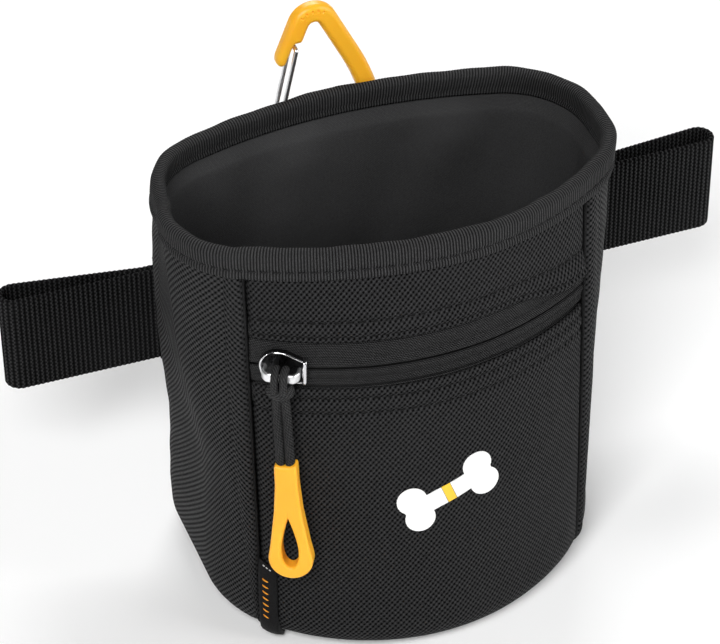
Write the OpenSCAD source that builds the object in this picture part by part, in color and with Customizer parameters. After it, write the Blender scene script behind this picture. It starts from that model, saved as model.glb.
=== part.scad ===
// Belt pouch for dog treats: soft open bag with a zipped front pocket, a webbing belt and a carabiner.
// +Z is up, the front faces -Y, and the origin is the centre of the base on its underside.

/* [Bag] */
// Height to the top of the mouth
pouch_h = 124; // [118:1:130]
// Width of the mouth
mouth_w = 120; // [117:1:123]
// Reach of the mouth in front of the origin
mouth_front = 32; // [31:0.5:33]
// Reach of the mouth behind the origin
mouth_back = 38.5; // [37.5:0.5:39.5]
// Width of the base
base_w = 106; // [104:1:108]
// Reach of the base in front of the origin
base_front = 45; // [44:0.5:46]
// Reach of the base behind the origin
base_back = 48.5; // [47.5:0.5:49.5]
// Rounding of the bottom edge
bottom_r = 9; // [7:0.5:10]
// Thickness of the shell fabric
cloth = 0.9; // [0.7:0.1:1.0]

/* [Front seams and pocket] */
// Distance between the two front seams at the mouth
seam_mouth = 89; // [87:1:90]
// Distance between the two front seams at the base
seam_base = 91; // [89:1:91]
// Depth of the front pocket behind the zip
pocket_gap = 5; // [4.5:0.5:6]
// Height of the middle of the zip
zip_z = 90.2; // [88:0.2:92]
// Angle from the middle of the front to the slider at rest
slider_rest = 29.1; // [27:0.1:29.5]

/* [Pull] */
// Length of the moulded pull end
pull_l = 34.5; // [30:0.5:36]
// Widest part of the pull end
pull_w = 11.5; // [10:0.5:12]
// Lean of the hanging pull from upright
pull_lean = 6.3; // [6.3:0.1:8]

/* [Belt] */
// Width of the webbing
belt_w = 30; // [26:1:30]
// Thickness of the webbing
belt_t = 1.7; // [1.4:0.1:1.7]
// Height of the belt's lower edge
belt_z = 42; // [41.5:0.5:42.5]
// Reach of the left belt loop
belt_left = 91; // [85:1:95]
// Reach of the right belt loop
belt_right = 117; // [110:1:120]

/* [Carabiner] */
// In-plane thickness of the carabiner's body
carabiner_bar = 5.2; // [4.8:0.1:5.4]
// Thickness of the carabiner's body across its plane
carabiner_t = 4.2; // [3.8:0.1:4.4]
// Wire radius of the gate
gate_r = 0.6; // [0.5:0.05:0.6]

/* [Hidden] */

// Outline of the bag: radius of the front arc, and the angle at which it ends, at base and mouth
base_front_r = 60;
mouth_front_r = 85.5;
base_front_end = 50;
mouth_front_end = 35;
// Radius of the back, and of the corners between sides and back
base_back_r = 260;
mouth_back_r = 140;
back_corner_r = 24;

wall_top = pouch_h - 1;
foam_in = 2.9;
foam_out = 1.2;
lining_out = 3.15;
lining_t = 0.45;
floor_gap = 0.3;
seam_front = 0.016;
seam_side = 0.1;
piping_front = seam_front - 0.002;
piping_side = 0.02;
hem_z = pouch_h - 12;
binding_h = 8.5;
binding_t = 0.8;

// Zip: opening above and below its middle line, half the slot for the slider's post, tape and coil depths
zip_open_up = 6.4;
zip_open_down = 5.8;
slot_half = 0.6;
tape_in = 1.7;
tape_out = 1.1;
coil_out = 1.85;
coil_in = 3.0;
coil_h = 2.2;
tape_h = 11.5;

slider_lean = 5;
bar_y = -4;
bar_r = 0.9;
knot_z = -5.2;
knot_r = 2.4;
cord_r = 1.2;
cord_y = -3.6;
pull_rest_tilt = 4;

fine = 48;

function lerp(a, b, t) = a + (b - a) * t;
function run(a, b, n) = [for (i = [0:n]) lerp(a, b, i / n)];
function reversed(list) = [for (i = [len(list) - 1:-1:0]) list[i]];
function arc(c, r, a0, a1, n) = [for (a = run(a0, a1, n)) c + r * [cos(a), sin(a)]];

// The outline at height share t is five kinds of arc, joined without a corner.
function half_w(t) = lerp(base_w, mouth_w, t) / 2;
function front_y(t) = lerp(base_front, mouth_front, t);
function back_y(t) = lerp(base_back, mouth_back, t);
function front_r(t) = lerp(base_front_r, mouth_front_r, t);
function front_end(t) = lerp(base_front_end, mouth_front_end, t);
function back_r(t) = lerp(base_back_r, mouth_back_r, t);
function seam_angle(t) = asin(lerp(seam_base, seam_mouth, t) / 2 / front_r(t));
function side_r(t) = (half_w(t) - front_r(t) * sin(front_end(t))) / (1 - sin(front_end(t)));
function front_centre(t) = [0, front_r(t) - front_y(t)];
function side_centre(t) = front_centre(t)
    + (front_r(t) - side_r(t)) * [sin(front_end(t)), -cos(front_end(t))];
function back_centre(t) = [0, back_y(t) - back_r(t)];
function corner_x(t) = half_w(t) - back_corner_r;
function corner_centre(t) = [corner_x(t), back_centre(t)[1]
    + sqrt(pow(back_r(t) - back_corner_r, 2) - pow(corner_x(t), 2))];
function back_angle(t) = 180 - asin(corner_x(t) / (back_r(t) - back_corner_r));

// A station runs round the bag: 0 front middle, 1 seam, 2 end of the front arc, 3 and 4 ends of the
// flat side, 5 start of the back, 6 back middle, and on to 12 round the other side.
function arc_at(m, t) =
    m <= 1 ? [front_centre(t), front_r(t), m * seam_angle(t)] :
    m <= 2 ? [front_centre(t), front_r(t), lerp(seam_angle(t), front_end(t), m - 1)] :
    m <= 3 ? [side_centre(t), side_r(t), lerp(front_end(t), 90, m - 2)] :
    m <= 4 ? [[corner_x(t), lerp(side_centre(t)[1], corner_centre(t)[1], m - 3)], back_corner_r, 90] :
    m <= 5 ? [corner_centre(t), back_corner_r, lerp(90, back_angle(t), m - 4)] :
    [back_centre(t), back_r(t), lerp(back_angle(t), 180, m - 5)];
function folded(s) = s < 0 ? -s : s > 6 ? 12 - s : s;
function side_of(s) = s < 0 || s > 6 ? -1 : 1;
// Point at station s and height z, inset from the outside of the shell
function place(s, z, inset) =
    let (a = arc_at(folded(s), z / pouch_h), r = a[1] - inset)
    [side_of(s) * (a[0][0] + r * sin(a[2])), a[0][1] - r * cos(a[2]), z];

// The pocket pushes the inner layers back over the front only.
function pocket_share(s) =
    let (m = folded(s)) m <= 1 ? 1 : m >= 2.6 ? 0 : (1 + cos(180 * (m - 1) / 1.6)) / 2;

steps = [8, 1, 5, 2, 5, 4];
grid = [for (sector = [-1:11])
        let (n = steps[sector < 0 ? 0 : sector > 5 ? 11 - sector : sector])
        for (j = [0:n - 1]) sector + j / n];
full_ring = [for (s = grid) if (s >= 0) s];
function between(a, b) = concat([a], [for (s = grid) if (s > a + 0.02 && s < b - 0.02) s], [b]);

// Layer round the bag. Outer and inner hold [inset, height, pocket depth, fixed y if given].
// Both faces are split along the same diagonals, so that layers lie parallel.
module wall(outer, inner, stations, closed = false) {
    n = len(outer);
    ring = 2 * n;
    count = len(stations);
    profile = concat(outer, reversed(inner));
    points = [for (s = stations, p = profile)
              let (q = place(s, p[1], p[0] + pocket_share(s) * p[2]))
              len(p) > 3 ? [q[0], p[3], q[2]] : q];
    sides = [for (i = [0:(closed ? count : count - 1) - 1], j = [0:ring - 1])
             let (k = (j + 1) % ring, next = ((i + 1) % count) * ring,
                  a = i * ring + j, b = i * ring + k, c = next + k, d = next + j)
             each j < n ? [[a, b, c], [a, c, d]] : [[a, b, d], [b, c, d]]];
    ends = closed ? [] : [for (j = [0:n - 2], last = [0, 1])
             let (e = last * (count - 1) * ring,
                  a = e + j, b = e + j + 1, c = e + ring - 2 - j, d = e + ring - 1 - j)
             each last == 0 ? [[d, c, b], [d, b, a]] : [[a, b, c], [a, c, d]]];
    polyhedron(points, concat(sides, ends));
}

// Profile of a layer at a constant depth, from the bottom edge up through the given heights
function rounded(depth, heights, from = 0) = concat(
    [for (a = [from:22.5:90])
     [bottom_r - (bottom_r - depth) * sin(a), bottom_r - (bottom_r - depth) * cos(a), 0]],
    [for (z = heights) [depth, z, 0]]);
function flat(depth, heights) = [for (z = heights) [depth, z, 0]];

// Flat plate across the bottom
module floor_plate(z, thickness) {
    translate([0, 0, z])
        linear_extrude(thickness)
            polygon([for (s = full_ring) let (p = place(s, z, bottom_r + floor_gap)) [p[0], p[1]]]);
}

module front_lower_panel() {
    heights = [30, 55, zip_z - zip_open_down];
    color([0.15, 0.15, 0.15])
        wall(rounded(0, heights), rounded(cloth, heights), between(-1 + seam_front, 1 - seam_front));
}

module front_upper_panel() {
    heights = [zip_z + zip_open_up, wall_top];
    color([0.15, 0.15, 0.15])
        wall(flat(0, heights), flat(cloth, heights), between(-1 + seam_front, 1 - seam_front));
}

module side_back_panel() {
    heights = [30, 60, 90, wall_top];
    color([0.15, 0.15, 0.15])
        wall(rounded(0, heights), rounded(cloth, heights), between(1 + seam_side, 11 - seam_side));
}

module base_panel() {
    color([0.13, 0.13, 0.13]) floor_plate(0, cloth);
}

// Inner layers step back behind the pocket and return to the shell below the hem.
function inner_profile(depth, top) = concat(
    rounded(depth, [18]),
    [for (z = [30, 60, hem_z - 14]) [depth, z, pocket_gap]],
    [[depth, hem_z - 7, pocket_gap / 2]],
    top);

module body_foam() {
    color([0.35, 0.35, 0.37])
        wall(inner_profile(foam_out, []), inner_profile(foam_in, []), full_ring, true);
}

module base_board() {
    color([0.45, 0.42, 0.38]) floor_plate(foam_out, foam_in - foam_out);
}

module lining() {
    top_out = [[lining_out, hem_z, 0], [foam_out, hem_z + 3.5, 0], [foam_out, wall_top, 0]];
    top_in = [for (p = top_out) [p[0] + lining_t, p[1], 0]];
    color([0.08, 0.08, 0.08])
        wall(inner_profile(lining_out, top_out), inner_profile(lining_out + lining_t, top_in),
             full_ring, true);
}

module lining_floor() {
    color([0.08, 0.08, 0.08]) floor_plate(lining_out, lining_t);
}

module rim_binding() {
    low = pouch_h - binding_h;
    out = -0.1 - binding_t;
    in = foam_out + lining_t + 0.15 + binding_t;
    color([0.18, 0.18, 0.18])
        wall([[out, low, 0], [out, pouch_h - 0.8, 0], [out + 0.7, pouch_h, 0],
              [in - 0.7, pouch_h, 0], [in, pouch_h - 0.8, 0], [in, low + 0.8, 0]],
             [[-0.1, low, 0], [-0.1, wall_top + 0.05, 0], [0.1, wall_top + 0.15, 0],
              [in - binding_t - 0.2, wall_top + 0.15, 0], [in - binding_t, wall_top + 0.05, 0],
              [in - binding_t, low + 0.8, 0]],
             full_ring, true);
}

// Thin flexible magnet strips in the hem at the front and the back
module mouth_magnets() {
    heights = [hem_z - 5.5, hem_z];
    color([0.25, 0.25, 0.27]) {
        wall(flat(foam_out, heights), flat(foam_in - 0.2, heights), between(-0.4, 0.4));
        wall(flat(foam_out, heights), flat(foam_in - 0.2, heights), between(5.45, 6.55));
    }
}

module seam_piping(stations) {
    heights = [30, 60, 90, pouch_h - binding_h - 0.3];
    proud = 0.5;
    color([0.1, 0.1, 0.1])
        wall(rounded(-proud, heights, 22.5), rounded(cloth - 0.1, heights, 22.5), stations);
}

module left_seam_piping() {
    seam_piping([11 - piping_side, 11 + piping_front]);
}

module right_seam_piping() {
    seam_piping([1 - piping_front, 1 + piping_side]);
}

// Open-fronted bag behind the zip: a back sheet with a turn at its top and its bottom
module pocket_bag() {
    low = 30;
    high = hem_z - 14;
    back = pocket_gap + 0.9;
    sheet = 0.5;
    color([0.1, 0.1, 0.1])
        wall([[cloth + 0.2, low + sheet, 0], [back - sheet, low + sheet, 0], [back - sheet, 60, 0],
              [back - sheet, high - sheet, 0], [tape_in + 0.2, high - sheet, 0]],
             [[cloth + 0.2, low, 0], [back, low, 0], [back, 60, 0], [back, high, 0],
              [tape_in + 0.2, high, 0]],
             between(-0.95, 0.95));
}

module tape(z0, z1) {
    color([0.12, 0.12, 0.12]) wall(flat(tape_out, [z0, z1]), flat(tape_in, [z0, z1]), between(-0.97, 0.97));
}

module zip_tape_upper() {
    tape(zip_z + slot_half, zip_z + tape_h);
}

module zip_tape_lower() {
    tape(zip_z - tape_h, zip_z - slot_half);
}

module coil(z0, z1) {
    color([0.09, 0.09, 0.09]) wall(flat(coil_out, [z0, z1]), flat(coil_in, [z0, z1]), between(-0.93, 0.93));
}

module zip_coil_upper() {
    coil(zip_z + slot_half, zip_z + slot_half + coil_h);
}

module zip_coil_lower() {
    coil(zip_z - slot_half - coil_h, zip_z - slot_half);
}

module zip_stops() {
    heights = [zip_z - slot_half - coil_h, zip_z + slot_half + coil_h];
    color([0.6, 0.6, 0.6])
        for (ends = [[-0.955, -0.937], [0.937, 0.955]])
            wall(flat(coil_out, heights), flat(coil_in, heights), ends);
}

zip_t = zip_z / pouch_h;
zip_r = front_r(zip_t);
zip_centre_y = front_centre(zip_t)[1];

// Puts its children on the zip: x along it, y into the bag, z up, with y = 0 on the shell's outside
module at_slider(lean) {
    translate([0, zip_centre_y, 0])
        rotate([0, 0, -slider_rest])
            translate([0, -zip_r, zip_z])
                rotate([-lean, 0, 0])
                    children();
}

// Plate between two depths, from an outline in x and z
module plate(y0, y1) {
    translate([0, y1, 0]) rotate([90, 0, 0]) linear_extrude(y1 - y0) children();
}

module slider_outline() {
    body_l = 10.7;
    body_h = 8;
    translate([(body_h - body_l) / 2, 0]) circle(d = body_h, $fn = fine);
    translate([(body_h - body_l) / 2, -body_h / 2]) square([body_l - body_h / 2, body_h]);
}

module zip_slider() {
    plate_top = -0.6;
    post_x = 3.3;
    color([0.8, 0.8, 0.82])
        at_slider(slider_lean) {
            plate(plate_top, 0.7) slider_outline();
            plate(3.4, 4.4) slider_outline();
            translate([-3, 0.6, -0.3]) cube([2, 2.9, 0.8]);
            for (x = [-post_x - 1.2, post_x])
                translate([x, bar_y - 1.1, -1.8]) cube([1.2, 1.1 - bar_y + plate_top + 0.1, 3.6]);
            translate([-post_x - 0.2, bar_y, 0])
                rotate([0, 90, 0])
                    cylinder(r = bar_r, h = 2 * post_x + 0.4, $fn = fine);
        }
}

// The pull hangs from the slider's bar and leans a little more than the slider.
module at_pull() {
    at_slider(slider_lean)
        translate([0, bar_y, 0])
            rotate([slider_lean - pull_lean, 0, 0])
                translate([0, -bar_y, 0])
                    children();
}

// Turns its children about the knot
module about_knot(angle) {
    translate([0, 0, knot_z]) rotate([0, angle, 0]) translate([0, 0, -knot_z]) children();
}

module cord_loop() {
    ring_r = 2.3;
    strand_r = 1.0;
    color([0.1, 0.1, 0.1])
        at_pull() {
            for (x = [-1.15, 1.15])
                translate([x, bar_y, 0])
                    rotate([0, 90, 0])
                        rotate_extrude($fn = fine)
                            translate([ring_r, 0])
                                circle(r = strand_r, $fn = fine);
            translate([0, cord_y + 1.8, knot_z])
                rotate([90, 0, 0])
                    cylinder(r = knot_r, h = 3.6, $fn = fine);
        }
}

pull_top = -26.5;
socket = 3.5;

module cords(radius, top) {
    for (x = [-cord_r - 0.1, cord_r + 0.1])
        translate([x, cord_y, pull_top - socket])
            cylinder(r = radius, h = top - pull_top + socket, $fn = fine);
}

module pull_cord() {
    color([0.1, 0.1, 0.1]) at_pull() about_knot(-pull_rest_tilt) cords(cord_r, knot_z - knot_r - 0.1);
}

// Outline in x and z that flares from a flat top down to a round bottom
function flared(top_half, top, r, z, skew) = concat(
    [[top_half, top], [-top_half, top]],
    arc([0, z], r, 180 - skew, 360 + skew, 28));

module pull_end() {
    thickness = 4.2;
    top_half = 2.9;
    eye_z = pull_top - pull_l + pull_w / 2;
    color([1, 0.71, 0.18])
        at_pull()
            about_knot(-pull_rest_tilt)
                difference() {
                    plate(cord_y - thickness / 2, cord_y + thickness / 2)
                        difference() {
                            polygon(flared(top_half, pull_top, pull_w / 2, eye_z, 8));
                            polygon(flared(0.25, eye_z + 13, 2.1, eye_z, 10));
                        }
                    cords(cord_r + 0.05, pull_top + 1);
                }
}

module label_tab() {
    heights = [27];
    color([0.07, 0.07, 0.07])
        wall(rounded(-1.2, heights, 45), rounded(-0.2, heights, 45), [-0.98, -0.93, -0.885]);
}

// A plain bone, as on any dog goods
module bone_outline() {
    shaft_l = 19;
    shaft_w = 6.4;
    knob_r = 4;
    square([shaft_l, shaft_w], center = true);
    for (x = [-1, 1], z = [-1, 1])
        translate([x * shaft_l / 2, z * 3]) circle(r = knob_r, $fn = fine);
}

module front_print() {
    intersection() {
        wall(flat(-0.4, [31, 51, 71]), flat(-0.1, [31, 51, 71]), between(-0.5, 0.55));
        translate([1, 0, 49]) rotate([90, 0, 0]) linear_extrude(60) rotate(20) children();
    }
}

module bone_print() {
    color([0.95, 0.95, 0.95])
        front_print()
            difference() {
                bone_outline();
                band_outline(0.1);
            }
}

module band_outline(margin) {
    square([2.4 + 2 * margin, 9], center = true);
}

module print_band() {
    color([0.98, 0.8, 0.25])
        front_print()
            intersection() {
                bone_outline();
                band_outline(0);
            }
}

belt_y = 46.2;
layer_gap = 0.2;
belt_back = belt_y + 2 * belt_t + layer_gap;
belt_mid = belt_y + belt_t + layer_gap / 2;

// Two straps sewn to the back, which the doubled belt passes behind
module belt_keepers() {
    strap = 1.2;
    low = belt_z - 1.2;
    high = belt_z + belt_w + 1.2;
    in_y = belt_back + 0.3;
    skin = -0.15;
    out_y = in_y + strap;
    outer = [[skin - strap, low - 11, 0], [skin - strap, low - 3, 0], [skin - strap, low - 1, 0, out_y],
             [skin - strap, high + 1, 0, out_y], [skin - strap, high + 3, 0], [skin - strap, high + 10, 0]];
    inner = [[skin, low - 11, 0], [skin, low - 1.5, 0], [skin, low, 0, in_y],
             [skin, high, 0, in_y], [skin, high + 1.5, 0], [skin, high + 10, 0]];
    color([0.08, 0.08, 0.08]) {
        wall(outer, inner, [4.64, 4.8, 5, 5.08]);
        wall(outer, inner, [6.92, 7, 7.2, 7.36]);
    }
}

buckle_t = 7.6;
buckle_y = belt_back + 0.5 + buckle_t / 2;
buckle_half_l = 26;
slot_end = 4;
slot_w = 3;
pinch_x = 54;

// Angle at which a line from a point meets a circle, below it (side -1) or above it (side 1)
function touch(point, c, r, side) =
    let (v = c - point)
    atan2(v[1], v[0]) + side * (180 - acos(r / norm(v)));

// One end of the folded belt, out from where its two layers part
module loop_outline(reach, inset) {
    end_r = 4.4;
    lean = 3;
    end = [reach - end_r, belt_mid + lean];
    low = [pinch_x, belt_y + inset];
    high = [pinch_x, belt_back - inset];
    r = end_r - inset;
    polygon(concat([high, low], arc(end, r, touch(low, end, r, -1), touch(high, end, r, 1), 16)));
}

module both_loops(inset) {
    loop_outline(belt_right, inset);
    mirror([1, 0, 0]) loop_outline(belt_left, inset);
}

// The outer layer turns up through the slot at each end of the buckle.
module belt() {
    leg_x = buckle_half_l - slot_end - (slot_w + belt_t) / 2;
    outer_layer = belt_back - belt_t;
    leg_h = buckle_y + buckle_t / 2 - outer_layer;
    color([0.08, 0.08, 0.08])
        translate([0, 0, belt_z])
            linear_extrude(belt_w) {
                difference() {
                    both_loops(0);
                    both_loops(belt_t);
                }
                translate([-pinch_x, belt_y]) square([2 * pinch_x, belt_t]);
                for (x = [-pinch_x, leg_x])
                    translate([x, outer_layer]) square([pinch_x - leg_x, belt_t]);
                for (x = [-leg_x - belt_t, leg_x])
                    translate([x, outer_layer]) square([belt_t, leg_h]);
            }
}

belt_mid_z = belt_z + belt_w / 2;
housing_end = 6;
rail_in = 15;
rail_out = 19;

// Solid block centred on the buckle's plane
module block(x0, x1, z0, z1, thickness) {
    translate([x0, buckle_y - thickness / 2, belt_mid_z + z0]) cube([x1 - x0, thickness, z1 - z0]);
}

module webbing_slot(x) {
    block(x, x + slot_w, -belt_w / 2 - 0.5, belt_w / 2 + 0.5, buckle_t + 1);
}

module buckle_female() {
    cavity = 5;
    color([0.07, 0.07, 0.07])
        difference() {
            block(-buckle_half_l, housing_end, -rail_out, rail_out, buckle_t);
            block(-13, housing_end + 1, -rail_in, rail_in, cavity);
            block(-9, 3, -rail_out - 1, rail_out + 1, cavity);
            webbing_slot(slot_end - buckle_half_l);
        }
}

prong_x = 8;
prong_z = 11;
prong_root_r = 1.4;

module prong_root(radius, side) {
    translate([prong_x, buckle_y + 2, belt_mid_z + side * prong_z])
        rotate([90, 0, 0])
            cylinder(r = radius, h = 4, $fn = fine);
}

module buckle_male() {
    color([0.07, 0.07, 0.07])
        difference() {
            union() {
                block(housing_end + 0.3, buckle_half_l, -rail_out + 1, rail_out - 1, buckle_t);
                block(-11, housing_end + 1, -2, 2, 4);
            }
            webbing_slot(buckle_half_l - slot_end - slot_w);
            for (side = [-1, 1]) {
                prong_root(prong_root_r + 0.05, side);
                block(housing_end, prong_x + 0.2, side * prong_z - 3.6, side * prong_z + 3.6, 4.2);
            }
        }
}

// Sprung arm whose head shows in the housing's side window
module prong(side) {
    arm = 1.1;
    color([0.07, 0.07, 0.07]) {
        prong_root(prong_root_r, side);
        block(-7, prong_x, side * prong_z - arm, side * prong_z + arm, 4);
        block(-7.5, 1.5, min(side * (prong_z - 1), side * (rail_out - 0.6)),
              max(side * (prong_z - 1), side * (rail_out - 0.6)), 4);
    }
}

module prong_upper() {
    prong(1);
}

module prong_lower() {
    prong(-1);
}

// The carabiner stands in the plane y = carabiner_y. Its points are in x and z.
carabiner_y = 46.6;
foot_z = 89;
top_centre = [-3.2, 139.1];
top_r = 4.2;
nose_angle = 22;
spine_angle = 27;
spine_r = 42;
spine_start = top_centre + top_r * [cos(spine_angle), sin(spine_angle)]
    + 20 * [sin(spine_angle), -cos(spine_angle)];
spine_centre = spine_start - spine_r * [cos(spine_angle), sin(spine_angle)];
corner_r = 9;
right_corner = [spine_centre[0] + spine_r - corner_r, foot_z + corner_r];
left_corner_r = 6.5;
gate_pivot = [-16.6, 98];
left_corner = [gate_pivot[0] + left_corner_r, foot_z + left_corner_r];
gate_top = [-8, 133];
gate_pin_r = gate_r + 0.05;

nose_end = top_centre + top_r * [-cos(nose_angle), sin(nose_angle)]
    - 11 * [sin(nose_angle), cos(nose_angle)];
foot_end = gate_pivot + [0, 1];

// One edge of the bent bar, at an offset outward or inward from its middle line
function bar_edge(offset) = concat(
    arc(top_centre, top_r + offset, 180 - nose_angle, spine_angle, 12),
    arc(spine_centre, spine_r + offset, spine_angle, 0, 6),
    arc(right_corner, corner_r + offset, 0, -90, 7),
    arc(left_corner, left_corner_r + offset, -90, -180, 7));
function bar_outline(half) = concat(
    bar_edge(half),
    arc(foot_end, half, 180, 0, 8),
    reversed(bar_edge(-half)),
    arc(nose_end, half, -nose_angle, -nose_angle - 180, 8));

module carabiner_plane(thickness) {
    translate([0, carabiner_y + thickness / 2, 0]) rotate([90, 0, 0]) linear_extrude(thickness) children();
}

module carabiner_body() {
    notch = gate_pin_r + 0.25;
    color([1, 0.71, 0.18])
        difference() {
            carabiner_plane(carabiner_t)
                difference() {
                    polygon(bar_outline(carabiner_bar / 2));
                    translate(gate_top) circle(r = notch, $fn = fine);
                    translate(gate_top - [0, notch]) square([3, 2 * notch]);
                }
            translate([gate_pivot[0], carabiner_y + carabiner_t, gate_pivot[1]])
                rotate([90, 0, 0])
                    cylinder(r = gate_pin_r + 0.05, h = 2 * carabiner_t, $fn = fine);
        }
}

module carabiner_gate() {
    leg_y = carabiner_t / 2 + gate_r + 0.1;
    pin_end = leg_y + gate_r + 0.1;
    v = gate_top - gate_pivot;
    color([0.8, 0.8, 0.82]) {
        for (side = [-1, 1])
            translate([gate_pivot[0], carabiner_y + side * leg_y, gate_pivot[1]])
                rotate([0, atan2(v[0], v[1]), 0])
                    cylinder(r = gate_r, h = norm(v), $fn = fine);
        for (p = [gate_top, gate_pivot])
            translate([p[0], carabiner_y + pin_end, p[1]])
                rotate([90, 0, 0])
                    cylinder(r = gate_pin_r, h = 2 * pin_end, $fn = fine);
    }
}

// Webbing tab sewn to the back, with an eye round the carabiner's foot
module carabiner_tab() {
    tab_half = 6;
    eye_in = 3.9;
    eye_out = 4.9;
    heights = [74.5, 86];
    color([0.08, 0.08, 0.08]) {
        translate([-tab_half, carabiner_y, foot_z])
            rotate([90, 0, 90])
                difference() {
                    cylinder(r = eye_out, h = 2 * tab_half, $fn = fine);
                    translate([0, 0, -1]) cylinder(r = eye_in, h = 2 * tab_half + 2, $fn = fine);
                }
        wall(flat(-1.25, heights), flat(-0.15, heights), [5.84, 6, 6.16]);
    }
}

front_lower_panel();
front_upper_panel();
side_back_panel();
base_panel();
body_foam();
base_board();
lining();
lining_floor();
rim_binding();
mouth_magnets();
left_seam_piping();
right_seam_piping();
pocket_bag();
zip_tape_upper();
zip_tape_lower();
zip_coil_upper();
zip_coil_lower();
zip_stops();
zip_slider();
cord_loop();
pull_cord();
pull_end();
label_tab();
bone_print();
print_band();
belt_keepers();
belt();
buckle_female();
buckle_male();
prong_upper();
prong_lower();
carabiner_tab();
carabiner_body();
carabiner_gate();
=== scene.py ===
import math

import bmesh
import bpy
import numpy as np
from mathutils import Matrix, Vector


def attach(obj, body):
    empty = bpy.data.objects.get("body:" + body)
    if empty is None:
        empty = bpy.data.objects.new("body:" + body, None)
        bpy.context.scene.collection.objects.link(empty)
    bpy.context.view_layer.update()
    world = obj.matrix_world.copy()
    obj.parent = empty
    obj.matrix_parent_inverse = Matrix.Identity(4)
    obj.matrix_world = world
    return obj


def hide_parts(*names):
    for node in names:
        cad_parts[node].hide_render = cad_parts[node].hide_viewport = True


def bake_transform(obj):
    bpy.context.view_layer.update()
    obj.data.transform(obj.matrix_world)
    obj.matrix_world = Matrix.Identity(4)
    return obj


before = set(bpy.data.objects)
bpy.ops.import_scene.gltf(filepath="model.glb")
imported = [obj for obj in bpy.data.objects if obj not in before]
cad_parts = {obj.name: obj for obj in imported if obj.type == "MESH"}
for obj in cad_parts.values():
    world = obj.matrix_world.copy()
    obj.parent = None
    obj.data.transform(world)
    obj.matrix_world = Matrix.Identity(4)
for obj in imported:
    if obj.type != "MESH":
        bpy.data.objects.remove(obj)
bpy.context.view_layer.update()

MM = 0.001
PI = math.pi

# ---------------------------------------------------------------- the bag's outline, in mm
# A pair holds the value at the base and the value at the mouth.
HALF_WIDTH, SEAM_CHORD = (53, 60), (91.6, 92)
FRONT_R, FRONT_DEPTH, FRONT_END = (60, 85.5), (45, 32), (50, 35)
BACK_R, BACK_DEPTH = (260, 140), (48.5, 38.5)
POUCH_H = 124.0
BACK_CORNER_R = 24.0
BOTTOM_R = 9.0
ZIP_Z = 90.2
OPEN_UP, OPEN_DOWN = 6.7, 5.8
CLOTH = 0.9
HEM_Z = POUCH_H - 12
POCKET = 5.0
BINDING_H = 7.9


def lerp(a, b, t):
    return a + (b - a) * t


def cosd(a):
    return math.cos(math.radians(a))


def sind(a):
    return math.sin(math.radians(a))


def clamp(x):
    return np.clip(x, 0, 1)


def dip(x, at, width):
    """A smooth bump, 1 high at x = at."""
    return np.exp(-((x - at) / width) ** 2)


def unit(v):
    return v / np.linalg.norm(v, axis=-1, keepdims=True)


def square_to(v, along):
    """Unit vectors from v, with what points along a path taken out."""
    return unit(v - along * (v * along).sum(axis=-1, keepdims=True))


def run_of(p):
    """The distance along a path at each of its points."""
    return np.concatenate([[0], np.cumsum(np.linalg.norm(np.diff(p, axis=0), axis=1))])


def at_runs(t, run, p):
    """The points at distances t along a path."""
    return np.stack([np.interp(t, run, p[:, k]) for k in range(p.shape[1])], axis=1)


def from_front(s):
    """Stations counted from the front middle, 0 to 6 on either side."""
    return np.where(s < 0, -s, np.where(s > 6, 12 - s, s))


def seam_angle(t):
    return np.arcsin(lerp(*SEAM_CHORD, t) / 2 / lerp(*FRONT_R, t))


def place(s, z, inset):
    """Points at station s, height z and inset from the shell's outside. Stations: 0 front middle,
    1 seam, 2 end of the front arc, 3 to 4 flat side, 5 start of the back, 6 back middle, to 12."""
    s, z, inset = np.broadcast_arrays(*(np.asarray(v, float) for v in (s, z, inset)))
    t = z / POUCH_H
    mirror = np.where((s < 0) | (s > 6), -1.0, 1.0)
    m = from_front(s)
    half_w, front_r, back_r = lerp(*HALF_WIDTH, t), lerp(*FRONT_R, t), lerp(*BACK_R, t)
    front_end = np.radians(lerp(*FRONT_END, t))
    seam = seam_angle(t)
    side_r = (half_w - front_r * np.sin(front_end)) / (1 - np.sin(front_end))
    front_cy = front_r - lerp(*FRONT_DEPTH, t)
    side_cx = (front_r - side_r) * np.sin(front_end)
    side_cy = front_cy - (front_r - side_r) * np.cos(front_end)
    back_cy = lerp(*BACK_DEPTH, t) - back_r
    corner_x = half_w - BACK_CORNER_R
    corner_cy = back_cy + np.sqrt((back_r - BACK_CORNER_R) ** 2 - corner_x ** 2)
    back_a = PI - np.arcsin(corner_x / (back_r - BACK_CORNER_R))
    arcs = [(0, front_cy, front_r, m * seam),
            (0, front_cy, front_r, lerp(seam, front_end, m - 1)),
            (side_cx, side_cy, side_r, lerp(front_end, PI / 2, m - 2)),
            (corner_x, lerp(side_cy, corner_cy, m - 3), BACK_CORNER_R, PI / 2),
            (corner_x, corner_cy, BACK_CORNER_R, lerp(PI / 2, back_a, m - 4)),
            (0, back_cy, back_r, lerp(back_a, PI, m - 5))]
    # dents: beside the front middle at the mouth, at the mouth's left end, in the left side
    signed = np.where(s > 6, s - 12, s)
    pushed = (2.4 * dip(signed, -0.38, 0.52) * clamp((z - 94) / 30) ** 1.3
              + 2.8 * dip(signed, -3.9, 1.1) * clamp((z - 85) / 39) ** 1.5
              + 1.5 * dip(signed, -3.5, 1.0) * dip(z, 50, 24))
    part = np.clip(np.ceil(m).astype(int) - 1, 0, 5)
    cx, cy, r, a = (np.choose(part, [np.broadcast_to(arc[k], m.shape) for arc in arcs])
                    for k in range(4))
    r = r - inset - pushed
    return np.stack([mirror * (cx + r * np.sin(a)), cy - r * np.cos(a), z], axis=-1)


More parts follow.
